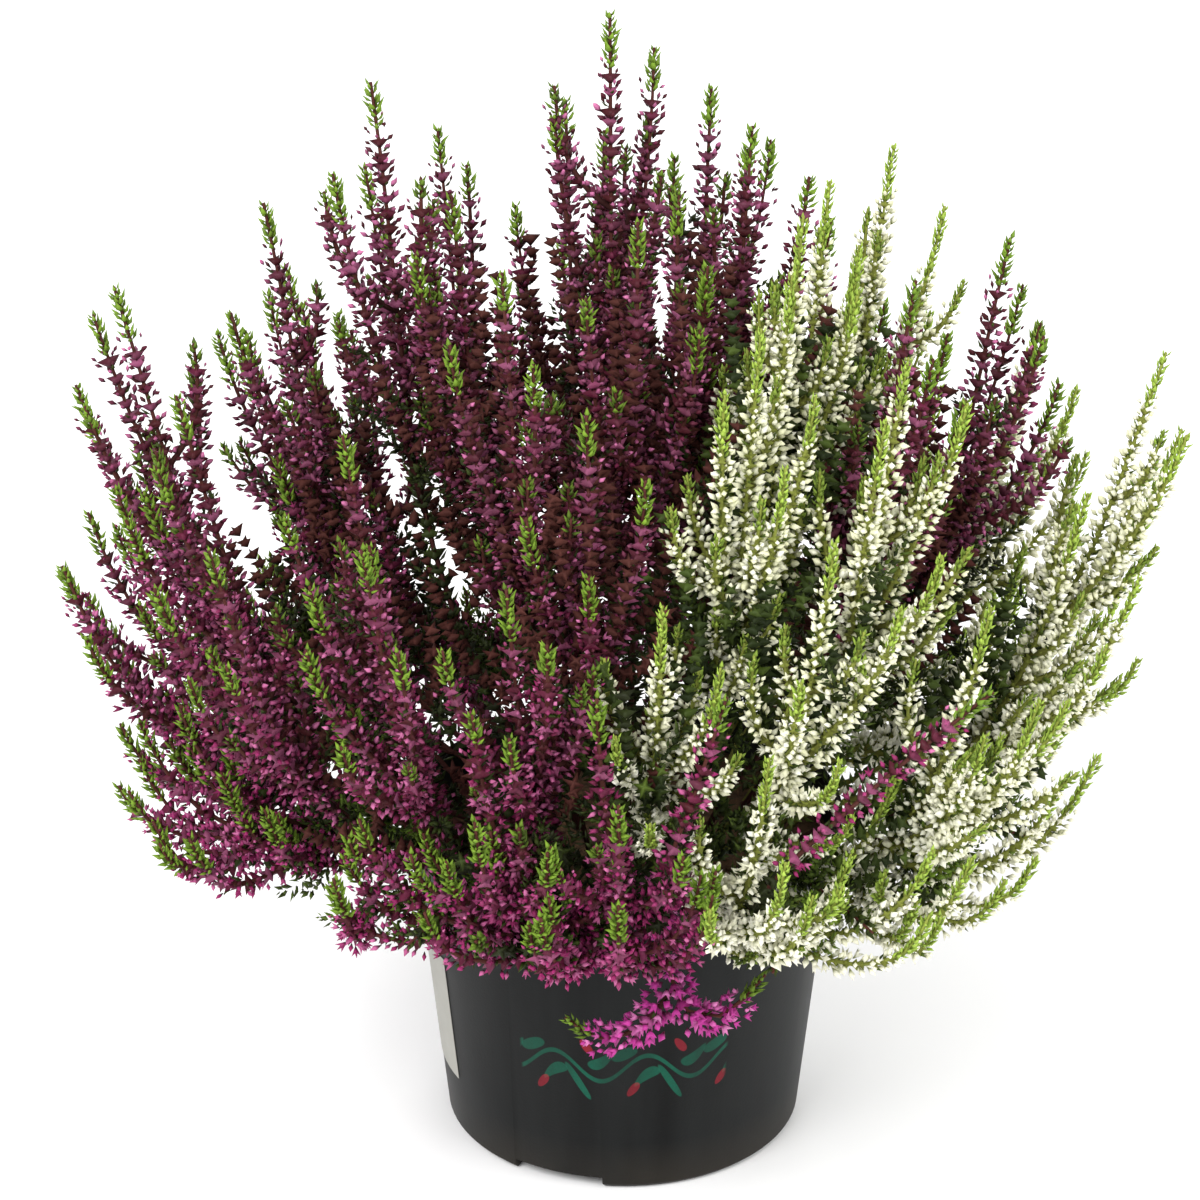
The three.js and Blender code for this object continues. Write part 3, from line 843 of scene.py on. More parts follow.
class Growth:
    """Gathers the copies that make up one piece and writes them as one mesh."""

    def __init__(self) -> None:
        """Starts with nothing."""
        self.points: List[np.ndarray] = []
        self.faces: List[np.ndarray] = []
        self.slots: List[np.ndarray] = []
        self.marks: Dict[str, List[np.ndarray]] = {"along": [], "chance": [], "fresh": []}
        self.count = 0

    def add(self, points: np.ndarray, faces: np.ndarray, slot: Slot, marks: Dict[str, np.ndarray]) -> None:
        """Adds points and faces.

        Args:
            points: points in rows.
            faces: triangles in rows, counted from the first of these points.
            slot: the material slot of the faces.
            marks: under each mark's name, a number for each point or one for all.
        """
        self.points.append(points)
        self.faces.append(faces + self.count)
        self.slots.append(np.full(len(faces), slot.value, dtype=np.int32))
        for name, kept in self.marks.items():
            kept.append(np.broadcast_to(marks[name], len(points)))
        self.count += len(points)

    def copy(self, shape: Shape, slot: Slot, copies: Copies) -> None:
        """Copies a shape many times.

        Args:
            shape: the shape.
            slot: the material slot of the copies.
            copies: where they stand, which way they point, their sizes and their marks.
        """
        ways, out = copies.ways, copies.faces_out
        flat = unit(out - np.sum(out * ways, axis=1, keepdims=True) * ways)
        side = np.cross(flat, ways)
        x, y, z = (shape.points[None, :, k, None] for k in range(3))
        placed = (
            copies.feet[:, None, :]
            + (x * side[:, None, :] + y * flat[:, None, :]) * copies.widths[:, None, None]
            + z * ways[:, None, :] * copies.lengths[:, None, None]
        )
        number, points = placed.shape[:2]
        offsets = (np.arange(number) * points)[:, None, None]
        marks = {
            "along": np.tile(shape.points[:, 2] / shape.height, number),
            "chance": np.repeat(copies.chance, points),
            "fresh": np.repeat(copies.fresh, points),
        }
        self.add(placed.reshape(-1, 3), (shape.faces[None] + offsets).reshape(-1, 3), slot, marks)

    def write(self, name: str, finishes: Sequence[bpy.types.Material]) -> bpy.types.Object:
        """Writes the copies as one object at the origin.

        Args:
            name: the object's name.
            finishes: the materials of the slots, in order.

        Returns:
            The object.
        """
        points = np.vstack(self.points) * MM
        faces = np.vstack(self.faces)
        mesh = bpy.data.meshes.new(name)
        mesh.vertices.add(len(points))
        mesh.vertices.foreach_set("co", points.ravel())
        mesh.loops.add(faces.size)
        mesh.loops.foreach_set("vertex_index", faces.ravel())
        mesh.polygons.add(len(faces))
        mesh.polygons.foreach_set("loop_start", np.arange(0, faces.size, 3))
        mesh.polygons.foreach_set("material_index", np.concatenate(self.slots))
        mesh.polygons.foreach_set("use_smooth", np.ones(len(faces), dtype=bool))
        for mark, kept in self.marks.items():
            layer = mesh.attributes.new(mark, "FLOAT", "POINT")
            layer.data.foreach_set("value", np.concatenate(kept))
        for finish in finishes:
            mesh.materials.append(finish)
        mesh.update(calc_edges=True)
        piece = bpy.data.objects.new(name, mesh)
        bpy.context.scene.collection.objects.link(piece)
        return piece


@dataclass(frozen=True)
class Foliage:
    """One kind of leaf cover. Sizes are shares of the modelled leaf's, and the lean is in degrees."""

    step: float
    size: float
    lean: float
    fresh: float
    width: float = 1.0
    smallest: float = 0.5


TWIG_LEAVES = Foliage(step=0.78, size=1.25, lean=48.0, fresh=0.0)
SHOOT_LEAVES = Foliage(step=0.8, size=1.4, lean=46.0, fresh=0.45)
LEAVES_AMONG_BUDS = Foliage(step=4.4, size=1.2, lean=50.0, fresh=0.3)
LEAVES_BELOW_BUDS = Foliage(step=1.54, size=1.4, lean=48.0, fresh=0.12)


@dataclass(frozen=True)
class Habit:
    """How one of the two plants grows along its spikes. Lengths are in millimetres."""

    tuft: float
    tuft_leaf: float
    tuft_lean: float
    bud_width: float
    bud_length: float
    buds_per_mm: float
    open_share: float
    spread_top: float
    spread_low: float
    stem_foot: float
    stem_tip: float
    bract: float
    bract_slot: Slot


PURPLE_HABIT = Habit(
    tuft=13.0,
    tuft_leaf=1.25,
    tuft_lean=40.0,
    bud_width=0.82,
    bud_length=1.05,
    buds_per_mm=1.25,
    open_share=0.25,
    spread_top=4.4,
    spread_low=6.4,
    stem_foot=1.0,
    stem_tip=0.45,
    bract=1.3,
    bract_slot=Slot.BUD,
)
SPRIG_HABIT = replace(
    PURPLE_HABIT,
    bud_width=1.25,
    bud_length=1.1,
    buds_per_mm=2.4,
    open_share=0.6,
    spread_top=5.5,
    spread_low=7.5,
)
WHITE_HABIT = Habit(
    tuft=18.0,
    tuft_leaf=1.05,
    tuft_lean=30.0,
    bud_width=1.05,
    bud_length=1.18,
    buds_per_mm=1.8,
    open_share=0.16,
    spread_top=3.6,
    spread_low=6.2,
    stem_foot=1.0,
    stem_tip=0.4,
    bract=0.8,
    bract_slot=Slot.STEM,
)


@dataclass(frozen=True)
class Chance:
    """How far single leaves, whorls and buds stray from the rule. Angles are in degrees, turns in radians."""

    leaf_turn: float = 0.3
    leaf_lean: float = 8.0
    leaf_sizes: Tuple[float, float] = (0.8, 1.15)
    whorl_place: Tuple[float, float] = (0.2, 0.8)
    whorl_turn: float = 0.15
    whorl_sizes: Tuple[float, float] = (0.85, 1.15)
    whorl_palest: float = 0.75
    green: float = 0.1
    bud_turn: float = 0.35
    bud_lean: float = 14.0
    bud_sizes: Tuple[float, float] = (0.82, 1.15)
    bud_reach: Tuple[float, float] = (0.62, 1.0)
    bud_colour: float = 0.14
    tuft: Tuple[float, float] = (0.75, 1.3)


@dataclass
class Gardener:
    """Grows stems, leaves, whorls, buds and branches along paths."""

    nursery: Nursery
    chance: Chance = Chance()
    leaf_taper: float = 4.0
    leaf_root: float = 0.3
    tuft_step: float = 0.44
    tuft_fresh: float = 0.95
    tuft_fade: float = 0.5
    tuft_width: float = 1.1
    tuft_smallest: float = 0.75
    tuft_overlap: float = 0.8
    tuft_most: float = 0.4
    tuft_end: float = 0.5
    whorl_step: float = 3.2
    whorl_turn: float = math.pi / 4
    # Bracts among the buds are kept dull, which darkens them as painted shade between the buds.
    bract_fresh: float = 0.15
    low_whorl: float = 1.4
    # Whorls low on the stems and on the inner branches are kept dull: their dark colour is partly that of old
    # growth and partly painted shade.
    low_whorl_fresh: float = 0.1
    inner_whorl: float = 1.2
    bud_lean_top: float = 38.0
    bud_lean_more: float = 34.0
    bud_lean_limits: Tuple[float, float] = (12.0, 100.0)
    bud_stretch: float = 60.0
    bud_lean_gain: float = 2.0
    bud_spread_gain: float = 1.6
    bud_smallest: float = 0.6
    bud_full_after: float = 30.0
    bud_nearest: float = 0.5
    tight_from: float = 0.16
    stem_fresh: Tuple[float, float] = (0.3, 0.5)
    twig_ahead: float = 0.4
    twig_away: float = 0.8
    twig_straight: float = 0.5
    twig_sink: float = 0.6
    twig_droop_kept: float = 0.7
    twig_handles: Point = (0.4, 0.7, 0.4)
    branch_ahead: float = 0.5
    branch_away: float = 0.8
    branch_outward: float = 0.12
    branch_upward: float = 0.35
    branch_handles: Point = (0.4, 0.25, 0.4)
    lateral_bare: float = 3.0
    lateral_tuft: float = 0.5
    inner_bare: float = 1.0

    def __post_init__(self) -> None:
        """Models the shapes that repeat, once."""
        self.bud = self.nursery.bud()
        self.tight_bud = self.nursery.tight_bud()
        self.flower = self.nursery.open_flower()
        self.leaf = self.nursery.leaf()
        self.whorl = self.nursery.whorl()
        self.rod = self.nursery.rod()

    def stem(
        self, growth: Growth, path: Path, radii: Tuple[float, float], fresh: float, sunk: float = 0.0
    ) -> None:
        """Bends a rod along a path.

        Args:
            growth: the piece that the stem goes to.
            path: the path.
            radii: the stem's radius at its foot and at its tip.
            fresh: how green the stem is, from 0 to 1.
            sunk: how far the foot is sunk straight down into the peat.
        """
        foot, tip = radii
        share = self.rod.points[:, 2]
        along = share * path.length
        _, side, outward = path.axes(along)
        radius = (foot + (tip - foot) * share)[:, None]
        centre = path.where(along)
        centre[share < TINY, 2] -= sunk
        points = centre + (self.rod.points[:, :1] * side + self.rod.points[:, 1:2] * outward) * radius
        marks = {"along": share, "chance": np.array(0.5), "fresh": np.array(fresh)}
        growth.add(points, self.rod.faces, Slot.STEM, marks)

    def leaves(
        self,
        growth: Growth,
        path: Path,
        stretch: Tuple[float, float],
        foliage: Foliage,
        rng: np.random.Generator,
    ) -> None:
        """Sets leaves round a stretch of a path.

        Args:
            growth: the piece that the leaves go to.
            path: the path.
            stretch: its start and end, from the path's foot.
            foliage: how close, large, leaning and fresh the leaves are.
            rng: the source of chance.
        """
        count = int((stretch[1] - stretch[0]) / foliage.step)
        if count < 1:
            return
        along = stretch[0] + (np.arange(count) + rng.uniform(0, 1, count)) * foliage.step
        along = np.clip(along, 0, path.length)
        turn = np.arange(count) * SPIRAL + rng.normal(0, self.chance.leaf_turn, count)
        ahead, radial = path.around(along, turn)
        left = np.clip((path.length - along) / self.leaf_taper, foliage.smallest, 1.0)
        lean = foliage.lean * (0.5 + 0.5 * left) + rng.normal(0, self.chance.leaf_lean, count)
        tilt = np.radians(lean)[:, None]
        sizes = foliage.size * rng.uniform(*self.chance.leaf_sizes, count) * left
        copies = Copies(
            feet=path.where(along) + radial * self.leaf_root,
            ways=np.cos(tilt) * ahead + np.sin(tilt) * radial,
            faces_out=radial,
            widths=sizes * foliage.width,
            lengths=sizes,
            chance=rng.uniform(0, 1, count),
            fresh=np.clip(foliage.fresh + rng.normal(0, self.chance.green, count), 0, 1),
        )
        growth.copy(self.leaf, Slot.LEAF, copies)

    def whorls(
        self,
        growth: Growth,
        path: Path,
        stretch: Tuple[float, float],
        slot: Slot,
        size: float,
        fresh: float,
        rng: np.random.Generator,
    ) -> None:
        """Sets whorls of bracts along a stretch of a path, each turned on from the last.

        Args:
            growth: the piece that the whorls go to.
            path: the path.
            stretch: its start and end, from the path's foot.
            slot: the material slot of the whorls.
            size: the whorls' size as a share of the modelled whorl's.
            fresh: how bright their green is, from 0 to 1.
            rng: the source of chance.
        """
        step = self.whorl_step * size
        count = int((stretch[1] - stretch[0]) / step)
        if count < 1:
            return
        along = stretch[0] + (np.arange(count) + rng.uniform(*self.chance.whorl_place, count)) * step
        turn = np.arange(count) * self.whorl_turn + rng.normal(0, self.chance.whorl_turn, count)
        ahead, radial = path.around(along, turn)
        sizes = size * rng.uniform(*self.chance.whorl_sizes, count)
        copies = Copies(
            feet=path.where(along),
            ways=ahead,
            faces_out=radial,
            widths=sizes,
            lengths=sizes,
            chance=rng.uniform(0, self.chance.whorl_palest, count),
            fresh=np.clip(fresh + rng.normal(0, self.chance.green, count), 0, 1),
        )
        growth.copy(self.whorl, slot, copies)

    def buds(
        self,
        growth: Growth,
        path: Path,
        stretch: Tuple[float, float],
        habit: Habit,
        fresh: float,
        rng: np.random.Generator,
    ) -> None:
        """Sets buds round a stretch of a path: small and close at its top, larger and wider below.

        Args:
            growth: the piece that the buds go to.
            path: the path.
            stretch: its start and end, from the path's foot.
            habit: how the plant grows.
            fresh: how fresh their colour is, from 0 to 1.
            rng: the source of chance.
        """
        span = stretch[1] - stretch[0]
        count = int(span * habit.buds_per_mm)
        if count < 1:
            return
        along = stretch[0] + (np.arange(count) + rng.uniform(0, 1, count)) * span / count
        down = stretch[1] - along
        below = down / max(span, self.bud_stretch)
        turn = np.arange(count) * SPIRAL + rng.normal(0, self.chance.bud_turn, count)
        ahead, radial = path.around(along, turn)
        lean = self.bud_lean_top + self.bud_lean_more * np.minimum(1, below * self.bud_lean_gain)
        lean = np.clip(lean + rng.normal(0, self.chance.bud_lean, count), *self.bud_lean_limits)
        tilt = np.radians(lean)[:, None]
        wider = (habit.spread_low - habit.spread_top) * np.minimum(1, below * self.bud_spread_gain)
        grown = np.clip(self.bud_smallest + down / self.bud_full_after, self.bud_smallest, 1.0)
        grown = grown * rng.uniform(*self.chance.bud_sizes, count)
        long = self.bud.height * habit.bud_length * grown
        reach = (habit.spread_top + wider) * rng.uniform(*self.chance.bud_reach, count)
        foot = np.maximum(self.bud_nearest, reach - long * np.sin(tilt[:, 0]))
        age = rng.uniform(0, 1, count)
        copies = Copies(
            feet=path.where(along) + radial * foot[:, None],
            ways=np.cos(tilt) * ahead + np.sin(tilt) * radial,
            faces_out=radial,
            widths=habit.bud_width * grown,
            lengths=habit.bud_length * grown,
            chance=rng.uniform(0, 1, count),
            fresh=np.clip(fresh + rng.normal(0, self.chance.bud_colour, count), 0, 1),
        )
        opened = age < habit.open_share * fresh
        tight = ~opened & (age > self.tight_from)
        for shape, kept in ((self.bud, ~opened & ~tight), (self.tight_bud, tight), (self.flower, opened)):
            if kept.any():
                growth.copy(shape, Slot.BUD, copies.kept(kept))

    def twig(
        self,
        growth: Growth,
        host: Path,
        along: float,
        length: float,
        fresh: float,
        rng: np.random.Generator,
        droop: float = 0.0,
    ) -> None:
        """Grows a short leafy twig out of a stem.

        Args:
            growth: the piece that the twig goes to.
            host: the stem's path.
            along: where the twig leaves it, from its foot.
            length: the twig's length.
            fresh: how bright a green it is, from 0 to 1.
            rng: the source of chance.
            droop: how much it leans out and down, from 0 to 1.
        """
        start = host.spot(along)
        ahead, away = host.leaving(along, rng.uniform(0, 2 * math.pi))
        out = unit(np.array([start[0], start[1], TINY]))
        sagging = droop * (out - self.twig_sink * UP)
        first = unit(self.twig_ahead * ahead + self.twig_away * away + sagging)
        last = unit(self.twig_straight * first + (1 - self.twig_droop_kept * droop) * UP)
        leave, arrive, rest = self.twig_handles
        bend = Bend(start, start + first * length * leave, start + first * length * arrive, start)
        bend.end = bend.arrive + last * length * rest
        if min(bend.end[2], bend.arrive[2]) < lowest(bend.end) or math.hypot(*bend.end[:2]) > TWIG_REACH:
            return
        path = bend.path()
        self.leaves(growth, path, (0.0, path.length), replace(TWIG_LEAVES, fresh=fresh), rng)

    def spike(
        self,
        growth: Growth,
        path: Path,
        habit: Habit,
        flowers: float,
        bare: float,
        fresh: float,
        rng: np.random.Generator,
        sunk: float = 0.0,
        tuft_share: float = 1.0,
    ) -> None:
        """Grows a whole flower spike along a path.

        Args:
            growth: the piece that the spike goes to.
            path: the path.
            habit: how the plant grows.
            flowers: how long the flowering stretch is.
            bare: how much of the foot is bare.
            fresh: how fresh the buds' colour is, from 0 to 1.
            rng: the source of chance.
            sunk: how far the foot is sunk into the peat.
            tuft_share: how large and bright its leafy tip is, as a share of a main spike's.
        """
        length = path.length
        tuft = min(habit.tuft * tuft_share * rng.uniform(*self.chance.tuft), self.tuft_most * length)
        top = length - tuft
        low = max(bare, top - flowers)
        tuft_leaves = Foliage(
            step=self.tuft_step,
            size=habit.tuft_leaf,
            lean=habit.tuft_lean,
            fresh=self.tuft_fresh - self.tuft_fade * (1 - tuft_share),
            width=self.tuft_width,
            smallest=self.tuft_smallest,
        )
        brown, green = self.stem_fresh
        self.stem(growth, path, (habit.stem_foot, habit.stem_tip), brown + green * fresh, sunk)
        self.leaves(growth, path, (top, length - self.tuft_end), tuft_leaves, rng)
        self.whorls(growth, path, (low, top), habit.bract_slot, habit.bract, self.bract_fresh * fresh, rng)
        self.whorls(growth, path, (bare, low), Slot.LEAF, self.low_whorl, self.low_whorl_fresh, rng)
        self.buds(growth, path, (low, length - tuft * self.tuft_overlap), habit, fresh, rng)
        self.leaves(growth, path, (low, top), LEAVES_AMONG_BUDS, rng)
        self.leaves(growth, path, (bare * 0.5, low), LEAVES_BELOW_BUDS, rng)

    def lateral(
        self,
        growth: Growth,
        host: Path,
        along: float,
        length: float,
        habit: Habit,
        fresh: float,
        rng: np.random.Generator,
    ) -> None:
        """Grows a short flower spike out of a longer one. It soon stands beside it.

        Args:
            growth: the piece that the spike goes to.
            host: the longer spike's path.
            along: where the short one leaves it, from its foot.
            length: the short one's length.
            habit: how the plant grows.
            fresh: how fresh the buds' colour is, from 0 to 1.
            rng: the source of chance.
        """
        bend = self.beside(host, along, length, rng)
        if bend.end[2] < lowest(bend.end) or math.hypot(*bend.end[:2]) > FOLIAGE_REACH:
            return
        path = bend.path()
        self.spike(growth, path, habit, length, self.lateral_bare, fresh, rng, tuft_share=self.lateral_tuft)

    def beside(self, host: Path, along: float, length: float, rng: np.random.Generator) -> Bend:
        """Leads a branch out of a stem, beside which it soon stands.

        Args:
            host: the stem's path.
            along: where the branch leaves it, from its foot.
            length: the branch's length.
            rng: the source of chance.

        Returns:
            The branch's curve.
        """
        start = host.spot(along)
        ahead, away = host.leaving(along, rng.uniform(0, 2 * math.pi))
        first = unit(self.branch_ahead * ahead + self.branch_away * away)
        last = unit(ahead + self.branch_outward * away + self.branch_upward * UP)
        leave_share, arrive_share, rest = self.branch_handles
        leave = start + first * length * leave_share
        arrive = leave + last * length * arrive_share
        return Bend(start, leave, arrive, arrive + last * length * rest)

    def inner(
        self, growth: Growth, host: Path, along: float, length: float, slot: Slot, rng: np.random.Generator
    ) -> None:
        """Grows a shaded branch, whose dark bracts close the view through the bush; their dark colour is
        painted shade.

        Args:
            growth: the piece that the branch goes to.
            host: the stem's path.
            along: where the branch leaves it, from its foot.
            length: the branch's length.
            slot: the material slot of its bracts.
            rng: the source of chance.
        """
        bend = self.beside(host, along, length, rng)
        out = math.hypot(*bend.end[:2]) / INNER_REACH
        rise = (bend.end[2] - FOLIAGE_FLOOR) / INNER_RISE
        if rise < 0 or math.hypot(out, rise) > 1:
            return
        path = bend.path()
        stretch = (self.inner_bare, path.length)
        self.whorls(growth, path, stretch, slot, self.inner_whorl, self.low_whorl_fresh, rng)


# Shader maths


class Value:
    """A number in a shader. Arithmetic on it adds Math nodes."""

    def __init__(self, shader: "Shader", socket: bpy.types.NodeSocket) -> None:
        """Wraps a socket.

        Args:
            shader: the shader that the socket is in.
            socket: the socket that gives the number.
        """
        self.shader, self.socket = shader, socket

    def math(self, operation: str, first: object, second: object = 0.0) -> "Value":
        """Adds a Math node and returns what it gives."""
        node = self.shader.node("ShaderNodeMath", {"operation": operation}, {0: first, 1: second})
        return Value(self.shader, node.outputs[0])

    def __add__(self, other: object) -> "Value":
        """Adds."""
        return self.math("ADD", self, other)

    __radd__ = __add__

    def __sub__(self, other: object) -> "Value":
        """Subtracts."""
        return self.math("SUBTRACT", self, other)

    def __rsub__(self, other: object) -> "Value":
        """Subtracts this from another."""
        return self.math("SUBTRACT", other, self)

    def __mul__(self, other: object) -> "Value":
        """Multiplies."""
        return self.math("MULTIPLY", self, other)

    __rmul__ = __mul__

    def __truediv__(self, other: object) -> "Value":
        """Divides."""
        return self.math("DIVIDE", self, other)

    def above(self, edge: float, soft: float) -> "Value":
        """Rises from 0 to 1 over a soft edge, as this passes it."""
        return self.math("MULTIPLY_ADD", self, 1 / soft).offset(0.5 - edge / soft)

    def offset(self, amount: float) -> "Value":
        """Adds a number and keeps the result from 0 to 1."""
        settings = {"operation": "ADD", "use_clamp": True}
        node = self.shader.node("ShaderNodeMath", settings, {0: self, 1: amount})
        return Value(self.shader, node.outputs[0])

    def abs(self) -> "Value":
        """Drops the sign."""
        return self.math("ABSOLUTE", self)

    def fraction(self) -> "Value":
        """Keeps what follows the decimal point."""
        return self.math("FRACT", self)

    def power(self, exponent: float) -> "Value":
        """Raises to a power."""
        return self.math("POWER", self, exponent)


Shade = Union[Colour, bpy.types.NodeSocket]


class Shader:
    """A material that is built from expressions."""

    def __init__(self, name: str, roughness: float, specular: float = 0.5) -> None:
        """Starts a material with one shader.

        Args:
            name: the material's name.
            roughness: its roughness where nothing varies it.
            specular: its specular level.
        """
        self.material = bpy.data.materials.new(name)
        self.material.use_nodes = True
        self.nodes = self.material.node_tree.nodes
        self.links = self.material.node_tree.links
        self.principled = self.nodes["Principled BSDF"]
        self.principled.inputs["Roughness"].default_value = roughness
        self.principled.inputs["Specular IOR Level"].default_value = specular

    def node(
        self, kind: str, settings: Dict[str, object], values: Dict[Union[int, str], object]
    ) -> bpy.types.Node:
        """Adds a node.

        Args:
            kind: the node's type.
            settings: its settings, set first.
            values: numbers, colours, sockets or values for its inputs.

        Returns:
            The node.
        """
        node = self.nodes.new(kind)
        for name, setting in settings.items():
            setattr(node, name, setting)
        for key, value in values.items():
            socket = node.inputs[key]
            if isinstance(value, Value):
                self.links.new(value.socket, socket)
            elif isinstance(value, bpy.types.NodeSocket):
                self.links.new(value, socket)
            elif isinstance(value, tuple) and len(value) == 3 and socket.type == "RGBA":
                socket.default_value = (*value, 1.0)
            else:
                socket.default_value = value
        return node

    def mark(self, name: str) -> Value:
        """Reads a mark that the mesh carries."""
        node = self.node("ShaderNodeAttribute", {"attribute_name": name}, {})
        return Value(self, node.outputs["Fac"])

    def place(self) -> bpy.types.NodeSocket:
        """Reads the place on the object, in metres."""
        return self.node("ShaderNodeTexCoord", {}, {}).outputs["Object"]

    def noise(self, scale: float, detail: float = 2.0, stretch: Point = (1, 1, 1)) -> Value:
        """Adds a noise over the object.

        Args:
            scale: how many times it repeats in a metre.
            detail: how fine it is.
            stretch: how it is scaled along each axis.

        Returns:
            The noise, from about 0 to 1.
        """
        mapped = self.node("ShaderNodeMapping", {}, {"Vector": self.place(), "Scale": stretch})
        values = {"Vector": mapped.outputs[0], "Scale": scale, "Detail": detail}
        return Value(self, self.node("ShaderNodeTexNoise", {}, values).outputs["Fac"])

    def mix(self, share: object, first: Shade, second: Shade) -> bpy.types.NodeSocket:
        """Mixes two colours.

        Args:
            share: how much of the second, from 0 to 1.
            first: the first colour.
            second: the second colour.

        Returns:
            The mixed colour.
        """
        settings = {"data_type": "RGBA", "clamp_factor": True}
        return self.node("ShaderNodeMix", settings, {0: share, 6: first, 7: second}).outputs[2]

    def scaled(self, colour: Shade, share: Value) -> bpy.types.NodeSocket:
        """Brightens or darkens a colour by a factor."""
        node = self.node("ShaderNodeVectorMath", {"operation": "SCALE"}, {0: colour, "Scale": share})
        return node.outputs[0]

    def bump(self, height: Value, distance: float, strength: float = 1.0) -> None:
        """Raises the surface.

        Args:
            height: how high each place is, from 0 to 1.
            distance: how high 1 is, in millimetres.
            strength: how much of it shows.
        """
        values = {"Height": height, "Distance": distance * MM, "Strength": strength}
        node = self.node("ShaderNodeBump", {}, values)
        self.links.new(node.outputs[0], self.principled.inputs["Normal"])

    def wear(self, colour: bpy.types.NodeSocket, roughness: Optional[Value] = None) -> bpy.types.Material:
        """Gives the shader what varies over its surface.

        Args:
            colour: the base colour.
            roughness: the roughness, where it varies.

        Returns:
            The finished material.
        """
        self.links.new(colour, self.principled.inputs["Base Color"])
        if roughness is not None:
            self.links.new(roughness.socket, self.principled.inputs["Roughness"])
        return self.material


# Finishes


@dataclass(frozen=True)
class BudFinish:
    """Buds: dull where old, bright where fresh, with a green foot and a soft mottle."""

    name: str
    dull: Colour
    bright: Colour
    pale: Colour
    foot: Colour
    foot_share: float
    pale_power: float = 3.0
    cover: float = 0.85

    def material(self) -> bpy.types.Material:
        """Builds the material."""
        shader = Shader(self.name, roughness=0.55, specular=0.15)
        along, chance, fresh = shader.mark("along"), shader.mark("chance"), shader.mark("fresh")
        mottle = shader.noise(scale=900, detail=3)
        body = shader.mix(fresh, self.dull, self.bright)
        body = shader.mix(chance.power(self.pale_power) * self.cover, body, self.pale)
        foot = (1 - along).above(1 - self.foot_share, soft=0.25)
        body = shader.mix(foot * self.cover, body, self.foot)
        body = shader.scaled(body, 0.72 + 0.34 * along + 0.3 * (mottle - 0.5))
        shader.bump(mottle, distance=0.25, strength=0.5)
        return shader.wear(body, 0.42 + 0.22 * mottle)


@dataclass(frozen=True)
class LeafFinish:
    """Scale leaves: dark green on old leaves and, as painted shade, on those deep in the bush; bright on the
    growing tips.
    """

    name: str
    # deep: the darkest green, of old leaves, and painted shade on the leaves and bracts deep in the bush
    deep: Colour
    middle: Colour
    bright: Colour

    def material(self) -> bpy.types.Material:
        """Builds the material."""
        shader = Shader(self.name, roughness=0.6, specular=0.2)
        along, chance, fresh = shader.mark("along"), shader.mark("chance"), shader.mark("fresh")
        mottle = shader.noise(scale=700, detail=3)
        body = shader.mix(fresh * 2, self.deep, self.middle)
        body = shader.mix(fresh * 2 - 1, body, self.bright)
        body = shader.scaled(body, 0.62 + 0.4 * along + 0.3 * chance + 0.25 * (mottle - 0.5))
        shader.bump(mottle, distance=0.2, strength=0.4)
        return shader.wear(body, 0.5 + 0.25 * mottle)


@dataclass(frozen=True)
class StemFinish:
    """Stems: woody brown at the foot, softer and greener towards the tip."""

    name: str
    wood: Colour
    green: Colour

    def material(self) -> bpy.types.Material:
        """Builds the material."""
        shader = Shader(self.name, roughness=0.75, specular=0.12)
        along, fresh = shader.mark("along"), shader.mark("fresh")
        bark = shader.noise(scale=500, detail=4, stretch=(1, 1, 0.25))
        body = shader.mix(along * 0.8 + fresh * 0.25, self.wood, self.green)
        body = shader.scaled(body, 0.65 + 0.7 * bark)
        shader.bump(bark, distance=0.3, strength=0.7)
        return shader.wear(body, 0.55 + 0.3 * bark)


